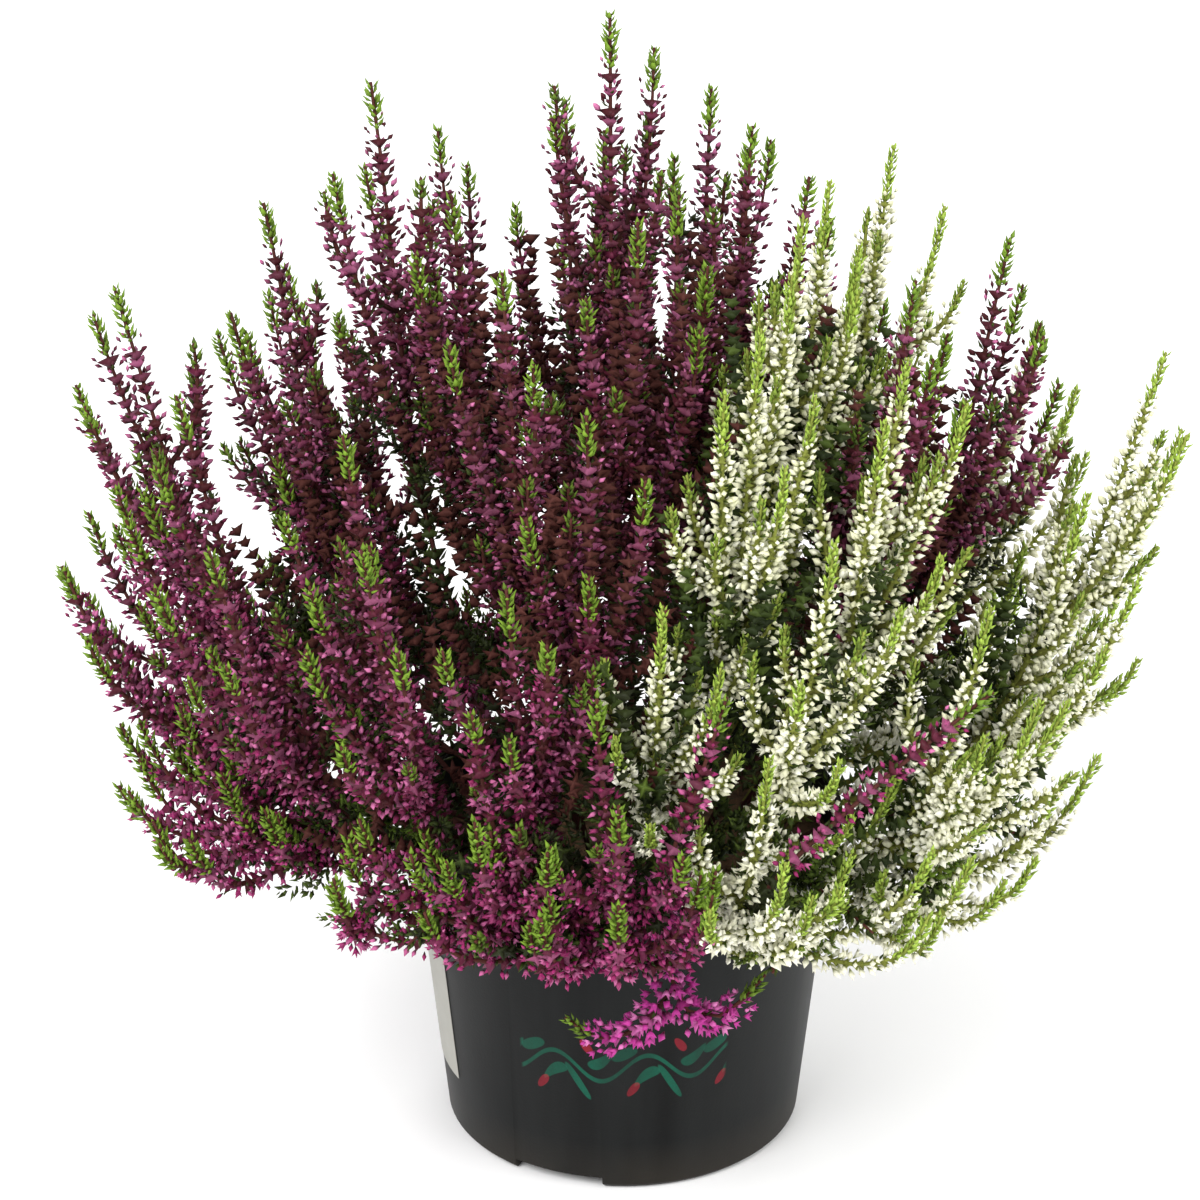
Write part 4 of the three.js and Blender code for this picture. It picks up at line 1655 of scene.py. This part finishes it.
@dataclass(frozen=True)
class PotFinish:
    """Satin black moulded plastic with a fine grain, scuffs and dust, and a printed trailing stem."""

    plastic: Colour = srgb(7, 8, 8)
    scuff: Colour = srgb(38, 40, 40)
    dust: Colour = srgb(50, 45, 38)
    print_green: Colour = srgb(16, 88, 68)
    print_red: Colour = srgb(140, 28, 44)
    trail_height: float = 42.0
    trail_wave: float = 4.4
    trail_step: float = 26.0
    trail_turn: float = 0.55
    radius: float = 54.6
    stem_width: float = 0.8
    leaf_size: Tuple[float, float] = (3.6, 2.0)
    leaf_places: Tuple[Point, ...] = (
        (0.25, 6.2, 0.6),
        (0.75, -6.2, 0.6),
        (0.5, 5.0, -0.6),
        (0.0, -5.0, -0.6),
    )
    berry_size: float = 1.8
    berry_places: Tuple[Tuple[float, float], ...] = ((0.1, 9.5), (0.6, -9.5))

    def material(self) -> bpy.types.Material:
        """Builds the material."""
        shader = Shader("pot_plastic", roughness=0.4, specular=0.1)
        grain = shader.noise(scale=1400, detail=3)
        drag = shader.noise(scale=60, detail=4, stretch=(1, 1, 0.06))
        cloud = shader.noise(scale=28, detail=3)
        split = shader.node("ShaderNodeSeparateXYZ", {}, {0: shader.place()})
        x, y, z = (Value(shader, split.outputs[k]) for k in range(3))
        height = z / MM
        body = shader.mix(drag.above(0.6, 0.3) * 0.4, self.plastic, self.scuff)
        body = shader.mix((1 - height / 16).offset(0.0) * cloud.above(0.5, 0.3) * 0.6, body, self.dust)
        body = shader.mix((height / 10 - 8.4).offset(0.0) * cloud.above(0.45, 0.3) * 0.4, body, self.dust)
        turn = x.math("ARCTAN2", x, 0 - y)
        shown = (1 - (turn / self.trail_turn).abs()).above(0.02, 0.03)
        ink = shown * (0.6 + 0.4 * grain) * (1 - 0.5 * drag.above(0.6, 0.2))
        for mask, colour in self.trail(turn * (self.radius / self.trail_step), height):
            body = shader.mix(mask * ink, body, colour)
        shader.bump(grain * 0.6 + drag * 0.4, distance=0.1, strength=0.5)
        return shader.wear(body, 0.33 + 0.16 * drag + 0.12 * cloud)

    def trail(self, ground: "Value", height: "Value") -> List[Tuple["Value", Colour]]:
        """Draws the printed stem, its leaves and its berries.

        Args:
            ground: the place round the wall, in steps of the trail.
            height: the height in millimetres.

        Returns:
            Each part's mask and colour.
        """
        wave = ground.math("SINE", ground * (2 * math.pi)) * self.trail_wave
        lift = height - self.trail_height - wave
        stem = (1 - lift.abs() / self.stem_width).above(0.2, soft=0.3)
        parts = [(stem, self.print_green)]
        long, broad = self.leaf_size
        for shift, rise, slant in self.leaf_places:
            cell = self.cell(ground, shift)
            leaf = (cell / long).power(2.0) + ((lift - rise - cell * slant) / broad).power(2.0)
            parts.append(((1 - leaf).above(0.1, soft=0.2), self.print_green))
        for shift, rise in self.berry_places:
            cell = self.cell(ground, shift)
            berry = (cell / self.berry_size).power(2.0) + ((lift - rise) / self.berry_size).power(2.0)
            parts.append(((1 - berry).above(0.1, soft=0.2), self.print_red))
        return parts

    def cell(self, ground: "Value", shift: float) -> "Value":
        """Finds the distance round the wall, in millimetres, from a place in each step of the trail."""
        return ((ground + (100 - shift)).fraction() - 0.5) * self.trail_step


@dataclass(frozen=True)
class PeatFinish:
    """Damp crumbly peat: dark brown with paler fibres."""

    dark: Colour = srgb(34, 24, 16)
    pale: Colour = srgb(92, 68, 46)

    def material(self) -> bpy.types.Material:
        """Builds the material."""
        shader = Shader("peat_crumb", roughness=0.95, specular=0.2)
        crumb = shader.noise(scale=420, detail=6)
        fibre = shader.noise(scale=900, detail=4, stretch=(1, 0.2, 1))
        light = crumb.above(0.55, soft=0.35) * 0.6 + fibre.above(0.68, soft=0.1) * 0.4
        body = shader.mix(light, self.dark, self.pale)
        shader.bump(crumb * 0.7 + fibre * 0.3, distance=1.2, strength=0.9)
        return shader.wear(body, 0.8 + 0.2 * crumb)


@dataclass(frozen=True)
class LabelFinish:
    """A blank label, slightly yellowed in patches; its grey is painted shade, the colour that the label shows
    in shade.
    """

    # Painted shade: the label is given the grey that it shows in shade.
    paper: Colour = srgb(164, 163, 156)
    yellowed: Colour = srgb(142, 140, 132)

    def material(self) -> bpy.types.Material:
        """Builds the material."""
        shader = Shader("label_paper", roughness=0.6, specular=0.4)
        cloud = shader.noise(scale=120, detail=4)
        body = shader.mix(cloud.above(0.55, soft=0.5) * 0.3, self.paper, self.yellowed)
        shader.bump(cloud, distance=0.05, strength=0.3)
        return shader.wear(body, 0.5 + 0.2 * cloud)


@dataclass(frozen=True)
class FloorFinish:
    """A plain pale studio floor."""

    shade: Colour = (0.93, 0.93, 0.93)
    darker: Colour = (0.9, 0.9, 0.9)

    def material(self) -> bpy.types.Material:
        """Builds the material."""
        shader = Shader("studio_floor", roughness=0.8, specular=0.2)
        cloud = shader.noise(scale=3, detail=2)
        return shader.wear(shader.mix(cloud * 0.1, self.shade, self.darker))


# Pot and peat


def modifier(piece: bpy.types.Object, kind: str, settings: Dict[str, object]) -> None:
    """Adds a modifier to an object and applies it.

    Args:
        piece: the object.
        kind: the modifier's type.
        settings: its settings.
    """
    bpy.ops.object.select_all(action="DESELECT")
    piece.select_set(True)
    bpy.context.view_layer.objects.active = piece
    added = piece.modifiers.new(kind.lower(), kind)
    for name, setting in settings.items():
        setattr(added, name, setting)
    bpy.ops.object.modifier_apply(modifier=added.name)


@dataclass
class Pot:
    """The moulded nursery pot, with its rim band, drain holes, notched foot ring and a blank label."""

    height: float = 95.0
    base_radius: float = 50.0
    rim_radius: float = 60.0
    wall: float = 1.6
    band_height: float = 9.0
    band_depth: float = 1.4
    foot_height: float = 5.0
    foot_width: float = 6.0
    foot_draft: float = 1.0
    foot_edge: float = 1.5
    notch_bearings: Tuple[float, ...] = (248, 8, 128)
    notch_width: float = 26.0
    notch_height: float = 3.6
    drain_holes: int = 6
    drain_radius: float = 5.0
    drain_circle: float = 30.0
    drain_sides: int = 24
    sides: int = 96
    edge: float = 0.5
    smooth_angle: float = math.radians(35)
    label_bearings: Tuple[float, float] = (168.0, 207.0)
    label_heights: Tuple[float, float] = (20.0, 60.0)
    label_gap: float = 0.06
    label_thickness: float = 0.14
    finish: PotFinish = field(default_factory=PotFinish)

    def radius_at(self, height: float) -> float:
        """Finds the wall's outer radius at a height."""
        return self.base_radius + (self.rim_radius - self.base_radius) * height / self.height

    def build(self) -> bpy.types.Object:
        """Models the pot and dresses it."""
        band = self.height - self.band_height
        floor = self.foot_height + self.wall
        inner_foot = self.base_radius - self.foot_width
        pot = Turner("pot_moulded", self.sides, inner_foot, self.foot_height)
        pot.ring(inner_foot + self.foot_draft, 0.0)
        pot.ring(self.base_radius - self.foot_edge, 0.0)
        pot.ring(self.radius_at(self.foot_edge), self.foot_edge)
        pot.ring(self.radius_at(band), band)
        pot.ring(self.radius_at(band) + self.band_depth, band)
        pot.ring(self.rim_radius + self.band_depth, self.height)
        pot.ring(self.rim_radius - self.wall, self.height)
        pot.ring(self.radius_at(floor) - self.wall, floor)
        piece = pot.done()
        for bearing in self.notch_bearings:
            self.cut(piece, self.notch_cutter(bearing))
        for k in range(self.drain_holes):
            self.cut(piece, self.drain_cutter(2 * math.pi * k / self.drain_holes))
        limit = {"limit_method": "ANGLE", "angle_limit": self.smooth_angle}
        modifier(piece, "BEVEL", {"width": self.edge * MM, "segments": 2, **limit})
        bpy.ops.object.shade_smooth_by_angle(angle=self.smooth_angle)
        piece.data.materials.clear()
        piece.data.materials.append(self.finish.material())
        return piece

    def notch_cutter(self, bearing: float) -> bpy.types.Object:
        """Makes the block that cuts a notch in the foot ring.

        Args:
            bearing: the notch's bearing in degrees.

        Returns:
            The block.
        """
        middle = polar(self.base_radius, 0, bearing) * MM
        turn = (0, 0, math.radians(bearing))
        bpy.ops.mesh.primitive_cube_add(size=1, location=tuple(middle), rotation=turn)
        cutter = bpy.context.active_object
        cutter.scale = (self.foot_width * 3 * MM, self.notch_width * MM, self.notch_height * 2 * MM)
        return cutter

    def drain_cutter(self, bearing: float) -> bpy.types.Object:
        """Makes the rod that cuts a drain hole.

        Args:
            bearing: the hole's bearing in radians.

        Returns:
            The rod.
        """
        middle = polar(self.drain_circle, self.foot_height, math.degrees(bearing)) * MM
        bpy.ops.mesh.primitive_cylinder_add(
            vertices=self.drain_sides,
            radius=self.drain_radius * MM,
            depth=4 * self.wall * MM,
            location=tuple(middle),
        )
        return bpy.context.active_object

    @staticmethod
    def cut(piece: bpy.types.Object, cutter: bpy.types.Object) -> None:
        """Cuts one object out of another, and removes the cutter."""
        modifier(piece, "BOOLEAN", {"operation": "DIFFERENCE", "object": cutter, "solver": "EXACT"})
        bpy.data.objects.remove(cutter)

    def label(self) -> bpy.types.Object:
        """Models the blank label that is stuck to the wall."""
        first, last = self.label_bearings
        low, high = self.label_heights
        bpy.ops.object.select_all(action="DESELECT")
        bpy.ops.mesh.primitive_grid_add(x_subdivisions=24, y_subdivisions=8, size=2)
        sheet = bpy.context.active_object
        sheet.name = "blank_label"
        for vertex in sheet.data.vertices:
            height = low + (high - low) * (vertex.co.y + 1) / 2
            bearing = first + (last - first) * (vertex.co.x + 1) / 2
            vertex.co = polar(self.radius_at(height) + self.label_gap, height, bearing) * MM
        modifier(sheet, "SOLIDIFY", {"thickness": self.label_thickness * MM, "offset": 1.0})
        bpy.ops.object.shade_smooth_by_angle(angle=self.smooth_angle)
        sheet.data.materials.append(LabelFinish().material())
        return sheet


@dataclass
class Peat:
    """The peat that fills the pot, with a crumbly top."""

    top: float = 87.0
    bottom: float = 6.9
    rings: Tuple[float, ...] = (52.0, 46.0, 40.0, 34.0, 28.0, 22.0, 16.0, 10.0, 4.0)
    sides: int = 48
    seat_gap: float = 0.35
    edge_drop: float = 1.0
    top_from: float = 1.5
    unevenness: float = 0.5
    crumbs: int = 300
    crumb_size: float = 1.5
    crumb_smallest: float = 0.4
    crumb_lift: float = 0.1
    crumb_tilt: float = 0.5
    crumb_spread: float = 0.97
    finish: PeatFinish = field(default_factory=PeatFinish)

    def build(self, pot: Pot, rng: np.random.Generator) -> bpy.types.Object:
        """Models the plug and its crumbs.

        Args:
            pot: the pot that it fills.
            rng: the source of chance.

        Returns:
            The piece.
        """
        gap = pot.wall + self.seat_gap
        plug = Turner("peat_fill", self.sides, pot.radius_at(self.bottom) - gap, self.bottom)
        edge = pot.radius_at(self.top) - gap
        plug.ring(edge, self.top - self.edge_drop)
        for radius in self.rings:
            plug.ring(radius, self.top)
        piece = plug.done()
        for vertex in piece.data.vertices:
            if vertex.co.z > (self.top - self.top_from) * MM:
                vertex.co.z += rng.normal(0, self.unevenness) * MM
        crumb = Turner("crumb", 5, 0.5, -0.45)
        crumb.ring(1.0, 0.0).ring(0.55, 0.6)
        shape = Shape.taken_from(crumb.done())
        growth = Growth()
        where = edge * np.sqrt(rng.uniform(0, 1, self.crumbs)) * self.crumb_spread
        turn = rng.uniform(0, 2 * math.pi, self.crumbs)
        height = np.full(self.crumbs, self.top + self.crumb_lift)
        feet = np.stack([where * np.cos(turn), where * np.sin(turn), height], axis=1)
        ways = unit(rng.normal(0, self.crumb_tilt, (self.crumbs, 3)) + UP)
        sizes = self.crumb_size * rng.uniform(self.crumb_smallest, 1.0, self.crumbs)
        chance = rng.uniform(0, 1, self.crumbs)
        across = np.cross(ways, np.array([0.3, 0.9, 0.1]))
        growth.copy(shape, Slot.STEM, Copies(feet, ways, across, sizes, sizes, chance, chance))
        finish = self.finish.material()
        crumbs = growth.write("peat_crumbs", [finish])
        piece.data.materials.append(finish)
        bpy.ops.object.select_all(action="DESELECT")
        crumbs.select_set(True)
        piece.select_set(True)
        bpy.context.view_layer.objects.active = piece
        bpy.ops.object.join()
        return piece


# Planting


@dataclass
class Planting:
    """Grows every spray, shoot and sprig of the bush.

    A pair is a range, or one value for purple and one for white, or one for the main stem and one for others.
    """

    bush: Bush
    gardener: Gardener
    root_depth: float = 10.0
    flower_length: float = 90.0
    low_flower_gain: float = 2.0
    side_flower_share: float = 0.85
    bare_foot: float = 22.0
    bare_fork: float = 6.0
    fresh_below: float = 235.0
    fresh_over: float = 130.0
    fresh_least: float = 0.1
    twigs_per_spike: int = 2
    twig_length: Tuple[float, float] = (14.0, 26.0)
    # Twigs inside a spray are kept dull, so that their leaves take dark greens as painted shade between the
    # spikes.
    twig_fresh: Tuple[float, float] = (0.0, 0.3)
    twig_from: Tuple[float, float] = (18.0, 3.0)
    twig_room: float = 4.0
    twig_to: float = 0.6
    inner_per_spike: int = 8
    inner_length: Tuple[float, float] = (26.0, 56.0)
    inner_place: Tuple[float, float] = (0.2, 0.74)
    laterals_per_spray: Tuple[int, int] = (7, 11)
    lateral_length: Tuple[float, float] = (26.0, 46.0)
    lateral_below: Tuple[float, float] = (12.0, 50.0)
    lateral_from: Tuple[float, float] = (30.0, 8.0)
    skirt_spikes: int = 9
    skirt_turn: Tuple[float, float] = (34.0, 36.0)
    skirt_place: Tuple[float, float] = (0.16, 0.36)
    skirt_reach: Tuple[float, float] = (104.0, 141.0)
    skirt_height: Tuple[float, float] = (110.0, 148.0)
    skirt_handle: float = 0.5
    skirt_lean: float = 0.35
    skirt_flowers: float = 60.0
    skirt_bare: float = 4.0
    skirt_free: float = 0.4
    skirt_checks: int = 12
    skirt_clear: float = 5.0
    skirt_back: float = 126.0
    skirt_twigs: int = 2
    skirt_twig_place: Tuple[float, float] = (0.1, 0.5)
    skirt_twig_fresh: float = 0.45
    skirt_droop: float = 0.6
    stray_host: int = 28
    stray_flowers: float = 60.0
    stray_bare: float = 30.0
    stray_fresh: float = 0.7
    shoot_radii: Tuple[float, float] = (0.9, 0.4)
    shoot_fresh: float = 0.7
    shoot_from: Tuple[float, float] = (20.0, 2.0)
    shoot_end: float = 2.0
    shoot_whorl: float = 1.3
    shoot_whorl_fresh: float = 0.2
    shoot_twigs: int = 13
    shoot_twig_after: float = 2.0
    shoot_twig_to: float = 0.95
    shoot_twig_length: Tuple[float, float] = (12.0, 24.0)
    shoot_twig_fresh: Tuple[float, float] = (0.35, 0.75)
    shoot_twig_droop: Tuple[float, float] = (0.0, 0.9)
    sprig_flowers: float = 60.0
    sprig_bare: Tuple[float, float] = (18.0, 4.0)
    sprig_fresh: float = 1.0
    sprig_tuft: float = 0.8

    def __post_init__(self) -> None:
        """Mixes the finishes of both plants."""
        purple = (
            StemFinish("purple_plant_stem", srgb(44, 20, 19), srgb(82, 44, 38)),
            # The first leaf green is the dark one of old leaves, also used as painted shade deep in the bush.
            LeafFinish("purple_plant_leaf", srgb(28, 32, 10), srgb(56, 70, 20), srgb(108, 138, 40)),
            BudFinish(
                "purple_bud",
                dull=srgb(68, 25, 29),
                bright=srgb(152, 40, 100),
                pale=srgb(208, 118, 166),
                foot=srgb(54, 26, 22),
                foot_share=0.25,
            ),
        )
        white = (
            StemFinish("white_plant_stem", srgb(86, 82, 40), srgb(138, 148, 66)),
            # The first leaf green is the dark one of old leaves, also used as painted shade deep in the bush.
            LeafFinish("white_plant_leaf", srgb(28, 38, 10), srgb(88, 108, 36), srgb(150, 176, 70)),
            BudFinish(
                "white_bud",
                dull=srgb(226, 226, 188),
                bright=srgb(248, 246, 222),
                pale=srgb(252, 251, 238),
                foot=srgb(170, 180, 104),
                foot_share=0.18,
            ),
        )
        sprig_bud = BudFinish(
            "sprig_bud",
            dull=srgb(150, 38, 112),
            bright=srgb(186, 58, 146),
            pale=srgb(220, 138, 190),
            foot=srgb(92, 44, 56),
            foot_share=0.18,
        )
        self.finishes = {
            Plant.PURPLE: [finish.material() for finish in purple],
            Plant.WHITE: [finish.material() for finish in white],
        }
        self.sprig_finishes = [*self.finishes[Plant.PURPLE][:2], sprig_bud.material()]
        self.habits = {Plant.PURPLE: PURPLE_HABIT, Plant.WHITE: WHITE_HABIT}

    @property
    def sunk(self) -> float:
        """How far a stem goes down from where its curve starts."""
        return self.bush.collar + self.root_depth

    def freshness(self, tip: np.ndarray) -> float:
        """Finds how fresh a spike's buds are: the low ones open last."""
        return clamp(self.fresh_least + (self.fresh_below - tip[2]) / self.fresh_over)

    def spray(self, index: int, tip: Tip, name: str) -> bpy.types.Object:
        """Grows one spray.

        Args:
            index: the spray's index.
            tip: its main spike's tip.
            name: the name of the node that it replaces.

        Returns:
            The piece.
        """
        rng = np.random.default_rng(SEED + index)
        growth = Growth()
        low = tip.at[2] < self.bush.low_tip
        paths = self.spikes(growth, index, tip, low, rng)
        # The shaded branches take the dark leaf green low and on the white plant, and the dark maroon stem
        # colour high on the purple plant: painted shade between the spikes.
        self.fill(growth, paths, Slot.LEAF if low or tip.plant is Plant.WHITE else Slot.STEM, rng)
        self.laterals(growth, paths, tip.plant, rng)
        if low:
            self.skirt(growth, paths[0], tip.plant, rng)
        for stray in self.bush.strays if index == self.stray_host else ():
            path = path_through(stray)
            habit = self.habits[Plant.PURPLE]
            self.gardener.spike(
                growth, path, habit, self.stray_flowers, self.stray_bare, self.stray_fresh, rng
            )
        return growth.write(f"{name}_grown", self.finishes[tip.plant])

    def spikes(self, growth: Growth, index: int, tip: Tip, low: bool, rng: np.random.Generator) -> List[Path]:
        """Grows a spray's main spike and its side spikes.

        Args:
            growth: the piece that the spikes go to.
            index: the spray's index.
            tip: the main spike's tip.
            low: whether it is a low spray, which flowers further down.
            rng: the source of chance.

        Returns:
            The spikes' paths, the main one first.
        """
        habit = self.habits[tip.plant]
        main = self.bush.main(tip.at)
        flowers = self.flower_length * (self.low_flower_gain if low else 1)
        paths = [main.path()]
        fresh = self.freshness(tip.at)
        self.gardener.spike(growth, paths[0], habit, flowers, self.bare_foot, fresh, rng, self.sunk)
        for side in range(self.bush.side_count(tip.at)):
            bend = self.bush.side(index, side, tip.at, main)
            paths.append(bend.path())
            share = self.side_flower_share * flowers
            fresh = self.freshness(bend.end)
            self.gardener.spike(growth, paths[-1], habit, share, self.bare_fork, fresh, rng)
        return paths

    def fill(self, growth: Growth, paths: List[Path], slot: Slot, rng: np.random.Generator) -> None:
        """Fills the inside of a spray with leafy twigs and shaded branches, whose dark colours are painted
        shade.

        Args:
            growth: the piece that they go to.
            paths: the spray's spikes, the main one first.
            slot: the material slot of the shaded bracts, which gives them their painted shade.
            rng: the source of chance.
        """
        for k, host in enumerate(paths):
            low = self.twig_from[k > 0]
            for _ in range(self.twigs_per_spike * (2 if k == 0 else 1)):
                along = rng.uniform(low, max(low + self.twig_room, self.twig_to * host.length))
                length = rng.uniform(*self.twig_length)
                self.gardener.twig(growth, host, along, length, rng.uniform(*self.twig_fresh), rng)
            for _ in range(self.inner_per_spike):
                along = rng.uniform(*self.inner_place) * host.length
                self.gardener.inner(growth, host, along, rng.uniform(*self.inner_length), slot, rng)

    def laterals(self, growth: Growth, paths: List[Path], plant: Plant, rng: np.random.Generator) -> None:
        """Grows a spray's short flower spikes out of its long ones in turn.

        Args:
            growth: the piece that the spikes go to.
            paths: the long spikes, the main one first.
            plant: the plant that the spray is of.
            rng: the source of chance.
        """
        for k in range(self.laterals_per_spray[plant is Plant.WHITE]):
            host = paths[k % len(paths)]
            length = rng.uniform(*self.lateral_length)
            along = host.length - length - rng.uniform(*self.lateral_below)
            if along > self.lateral_from[host is not paths[0]]:
                fresh = self.freshness(host.points[-1])
                self.gardener.lateral(growth, host, along, length, self.habits[plant], fresh, rng)

    def skirt(self, growth: Growth, host: Path, plant: Plant, rng: np.random.Generator) -> None:
        """Grows low spikes that leave a low spray's stem, spread over the rim and turn up.

        Args:
            growth: the piece that the spikes go to.
            host: the stem's path.
            plant: the plant that the spray is of.
            rng: the source of chance.
        """
        widest = self.skirt_turn[plant is Plant.WHITE]
        for _ in range(self.skirt_spikes):
            start = host.spot(rng.uniform(*self.skirt_place) * host.length)
            turn = math.degrees(math.atan2(start[1], start[0])) + rng.uniform(-1, 1) * widest
            end = polar(rng.uniform(*self.skirt_reach), rng.uniform(*self.skirt_height), turn)
            if self.bush.plant_at(end) is not plant or end[1] > self.skirt_back:
                continue
            length = float(np.linalg.norm(end - start))
            outward = polar(1, 0, turn)
            leave = start + outward * self.skirt_handle * length
            arrive = end - (self.skirt_lean * outward + UP) * self.skirt_handle * length
            bend = Bend(start, leave, arrive, end)
            rows = bend.point(np.linspace(self.skirt_free, 1, self.skirt_checks))
            lift = max(0.0, float((lowest(rows) + self.skirt_clear - rows[:, 2]).max()))
            bend.arrive[2] += lift
            bend.end[2] += lift
            path = bend.path()
            fresh = self.freshness(end)
            self.gardener.spike(
                growth, path, self.habits[plant], self.skirt_flowers, self.skirt_bare, fresh, rng
            )
            for _ in range(self.skirt_twigs):
                along = rng.uniform(*self.skirt_twig_place) * path.length
                twig = rng.uniform(*self.twig_length)
                self.gardener.twig(growth, path, along, twig, self.skirt_twig_fresh, rng, self.skirt_droop)

    def shoot(self, index: int, name: str) -> bpy.types.Object:
        """Grows one leafy shoot.

        Args:
            index: the shoot's index.
            name: the name of the node that it replaces.

        Returns:
            The piece.
        """
        rng = np.random.default_rng(SEED + SHOOT_SEED + index)
        growth = Growth()
        for k, bend in enumerate(self.bush.shoot(index)):
            path = bend.path()
            foot = self.shoot_from[k > 0]
            stretch = (foot, path.length - self.shoot_end)
            sunk = self.sunk if k == 0 else 0.0
            self.gardener.stem(growth, path, self.shoot_radii, self.shoot_fresh, sunk)
            self.gardener.whorls(
                growth, path, stretch, Slot.LEAF, self.shoot_whorl, self.shoot_whorl_fresh, rng
            )
            self.gardener.leaves(growth, path, (foot, path.length), SHOOT_LEAVES, rng)
            for _ in range(self.shoot_twigs):
                along = rng.uniform(foot + self.shoot_twig_after, path.length * self.shoot_twig_to)
                fresh = rng.uniform(*self.shoot_twig_fresh)
                length = rng.uniform(*self.shoot_twig_length)
                droop = rng.uniform(*self.shoot_twig_droop)
                self.gardener.twig(growth, path, along, length, fresh, rng, droop)
        return growth.write(f"{name}_grown", self.finishes[Plant.PURPLE])

    def sprig(self, name: str) -> bpy.types.Object:
        """Grows the sprig that hangs over the front of the pot.

        Args:
            name: the name of the node that it replaces.

        Returns:
            The piece.
        """
        rng = np.random.default_rng(SEED + SPRIG_SEED)
        growth = Growth()
        for path, bare, sunk in zip(self.bush.sprig(), self.sprig_bare, (self.sunk, 0.0)):
            fresh, tuft = self.sprig_fresh, self.sprig_tuft
            self.gardener.spike(growth, path, SPRIG_HABIT, self.sprig_flowers, bare, fresh, rng, sunk, tuft)
        return growth.write(f"{name}_grown", self.sprig_finishes)

    def grow(self) -> None:
        """Grows the whole bush, a piece for each node."""
        counts = {Plant.PURPLE: 0, Plant.WHITE: 0}
        total = 0
        for index, tip in enumerate(self.bush.tips()):
            counts[tip.plant] += 1
            node = f"{tip.plant.value}_spray_{counts[tip.plant]:02d}"
            total += settle(self.spray(index, tip, node), node)
        for index in range(len(self.bush.shoots)):
            node = f"leafy_shoot_{index + 1}"
            total += settle(self.shoot(index, node), node)
        total += settle(self.sprig("hanging_sprig"), "hanging_sprig")
        log.info("bush: %d triangles", total)


def settle(piece: bpy.types.Object, node: str) -> int:
    """Puts a finished piece in place of a node: hangs it on the body and hides the node.

    Args:
        piece: the piece.
        node: the node that it stands for.

    Returns:
        How many triangles it has.
    """
    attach(piece, BODY)
    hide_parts(node)
    triangles = sum(len(face.vertices) - 2 for face in piece.data.polygons)
    log.info("%s stands for %s: %d triangles", piece.name, node, triangles)
    return triangles


# Studio


@dataclass
class Studio:
    """The pale floor, the soft lights and the camera."""

    camera_place: Point = (-6.65, -1187.27, 741.89)
    camera_pitch: float = 26.143
    lens: float = 144.48
    sensor: float = 36.0
    floor_size: float = 16000.0
    middle: Point = (0.0, 0.0, 170.0)
    sky_strength: float = 0.75

    def floor(self) -> None:
        """Lays the floor."""
        bpy.ops.object.select_all(action="DESELECT")
        bpy.ops.mesh.primitive_plane_add(size=self.floor_size * MM, location=(0, 0, 0))
        floor = bpy.context.active_object
        floor.name = "studio_floor"
        floor.data.materials.append(FloorFinish().material())

    def lamp(self, name: str, place: Point, size: float, power: float) -> None:
        """Hangs a square lamp that faces the plant.

        Args:
            name: the lamp's name.
            place: where it hangs, in millimetres.
            size: its side, in millimetres.
            power: its power in watts.
        """
        light = bpy.data.lights.new(name, "AREA")
        light.size = size * MM
        light.energy = power
        lamp = bpy.data.objects.new(name, light)
        bpy.context.scene.collection.objects.link(lamp)
        away = np.array(place) - np.array(self.middle)
        lamp.location = tuple(np.array(place) * MM)
        lean = math.atan2(math.hypot(away[0], away[1]), away[2])
        lamp.rotation_euler = (lean, 0, math.atan2(away[1], away[0]) + math.pi / 2)

    def camera(self) -> None:
        """Places the camera as the photograph was taken."""
        data = bpy.data.cameras.new("photo_camera")
        data.lens = self.lens
        data.sensor_width = self.sensor
        data.clip_end = 100.0
        camera = bpy.data.objects.new("photo_camera", data)
        bpy.context.scene.collection.objects.link(camera)
        camera.location = tuple(np.array(self.camera_place) * MM)
        camera.rotation_euler = (math.radians(90 - self.camera_pitch), 0, 0)
        bpy.context.scene.camera = camera

    def sky(self) -> None:
        """Fills the room with even white light."""
        world = bpy.data.worlds.new("studio_light")
        world.use_nodes = True
        background = world.node_tree.nodes["Background"]
        background.inputs["Color"].default_value = (1.0, 1.0, 1.0, 1.0)
        background.inputs["Strength"].default_value = self.sky_strength
        bpy.context.scene.world = world
        bpy.context.scene.view_settings.view_transform = "Standard"

    def build(self) -> None:
        """Sets up the whole studio."""
        self.camera()
        self.floor()
        self.sky()
        self.lamp("key", (-900, -1300, 1500), 1100, 42)
        self.lamp("fill", (1300, -900, 1000), 1200, 18)
        self.lamp("back", (300, 1400, 1400), 1000, 14)


def main() -> None:
    """Builds the studio, the pot, the peat and the bush, and notes the sizes."""
    Studio().build()
    log.info("studio is set")
    rng = np.random.default_rng(SEED)
    pot = Pot()
    settle(pot.build(), "pot")
    label = pot.label()
    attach(label, BODY)
    settle(Peat().build(pot, rng), "peat")
    Planting(Bush(), Gardener(Nursery())).grow()


if __name__ == "__main__":
    logging.basicConfig(level=logging.INFO, format="%(name)s: %(message)s")
    main()
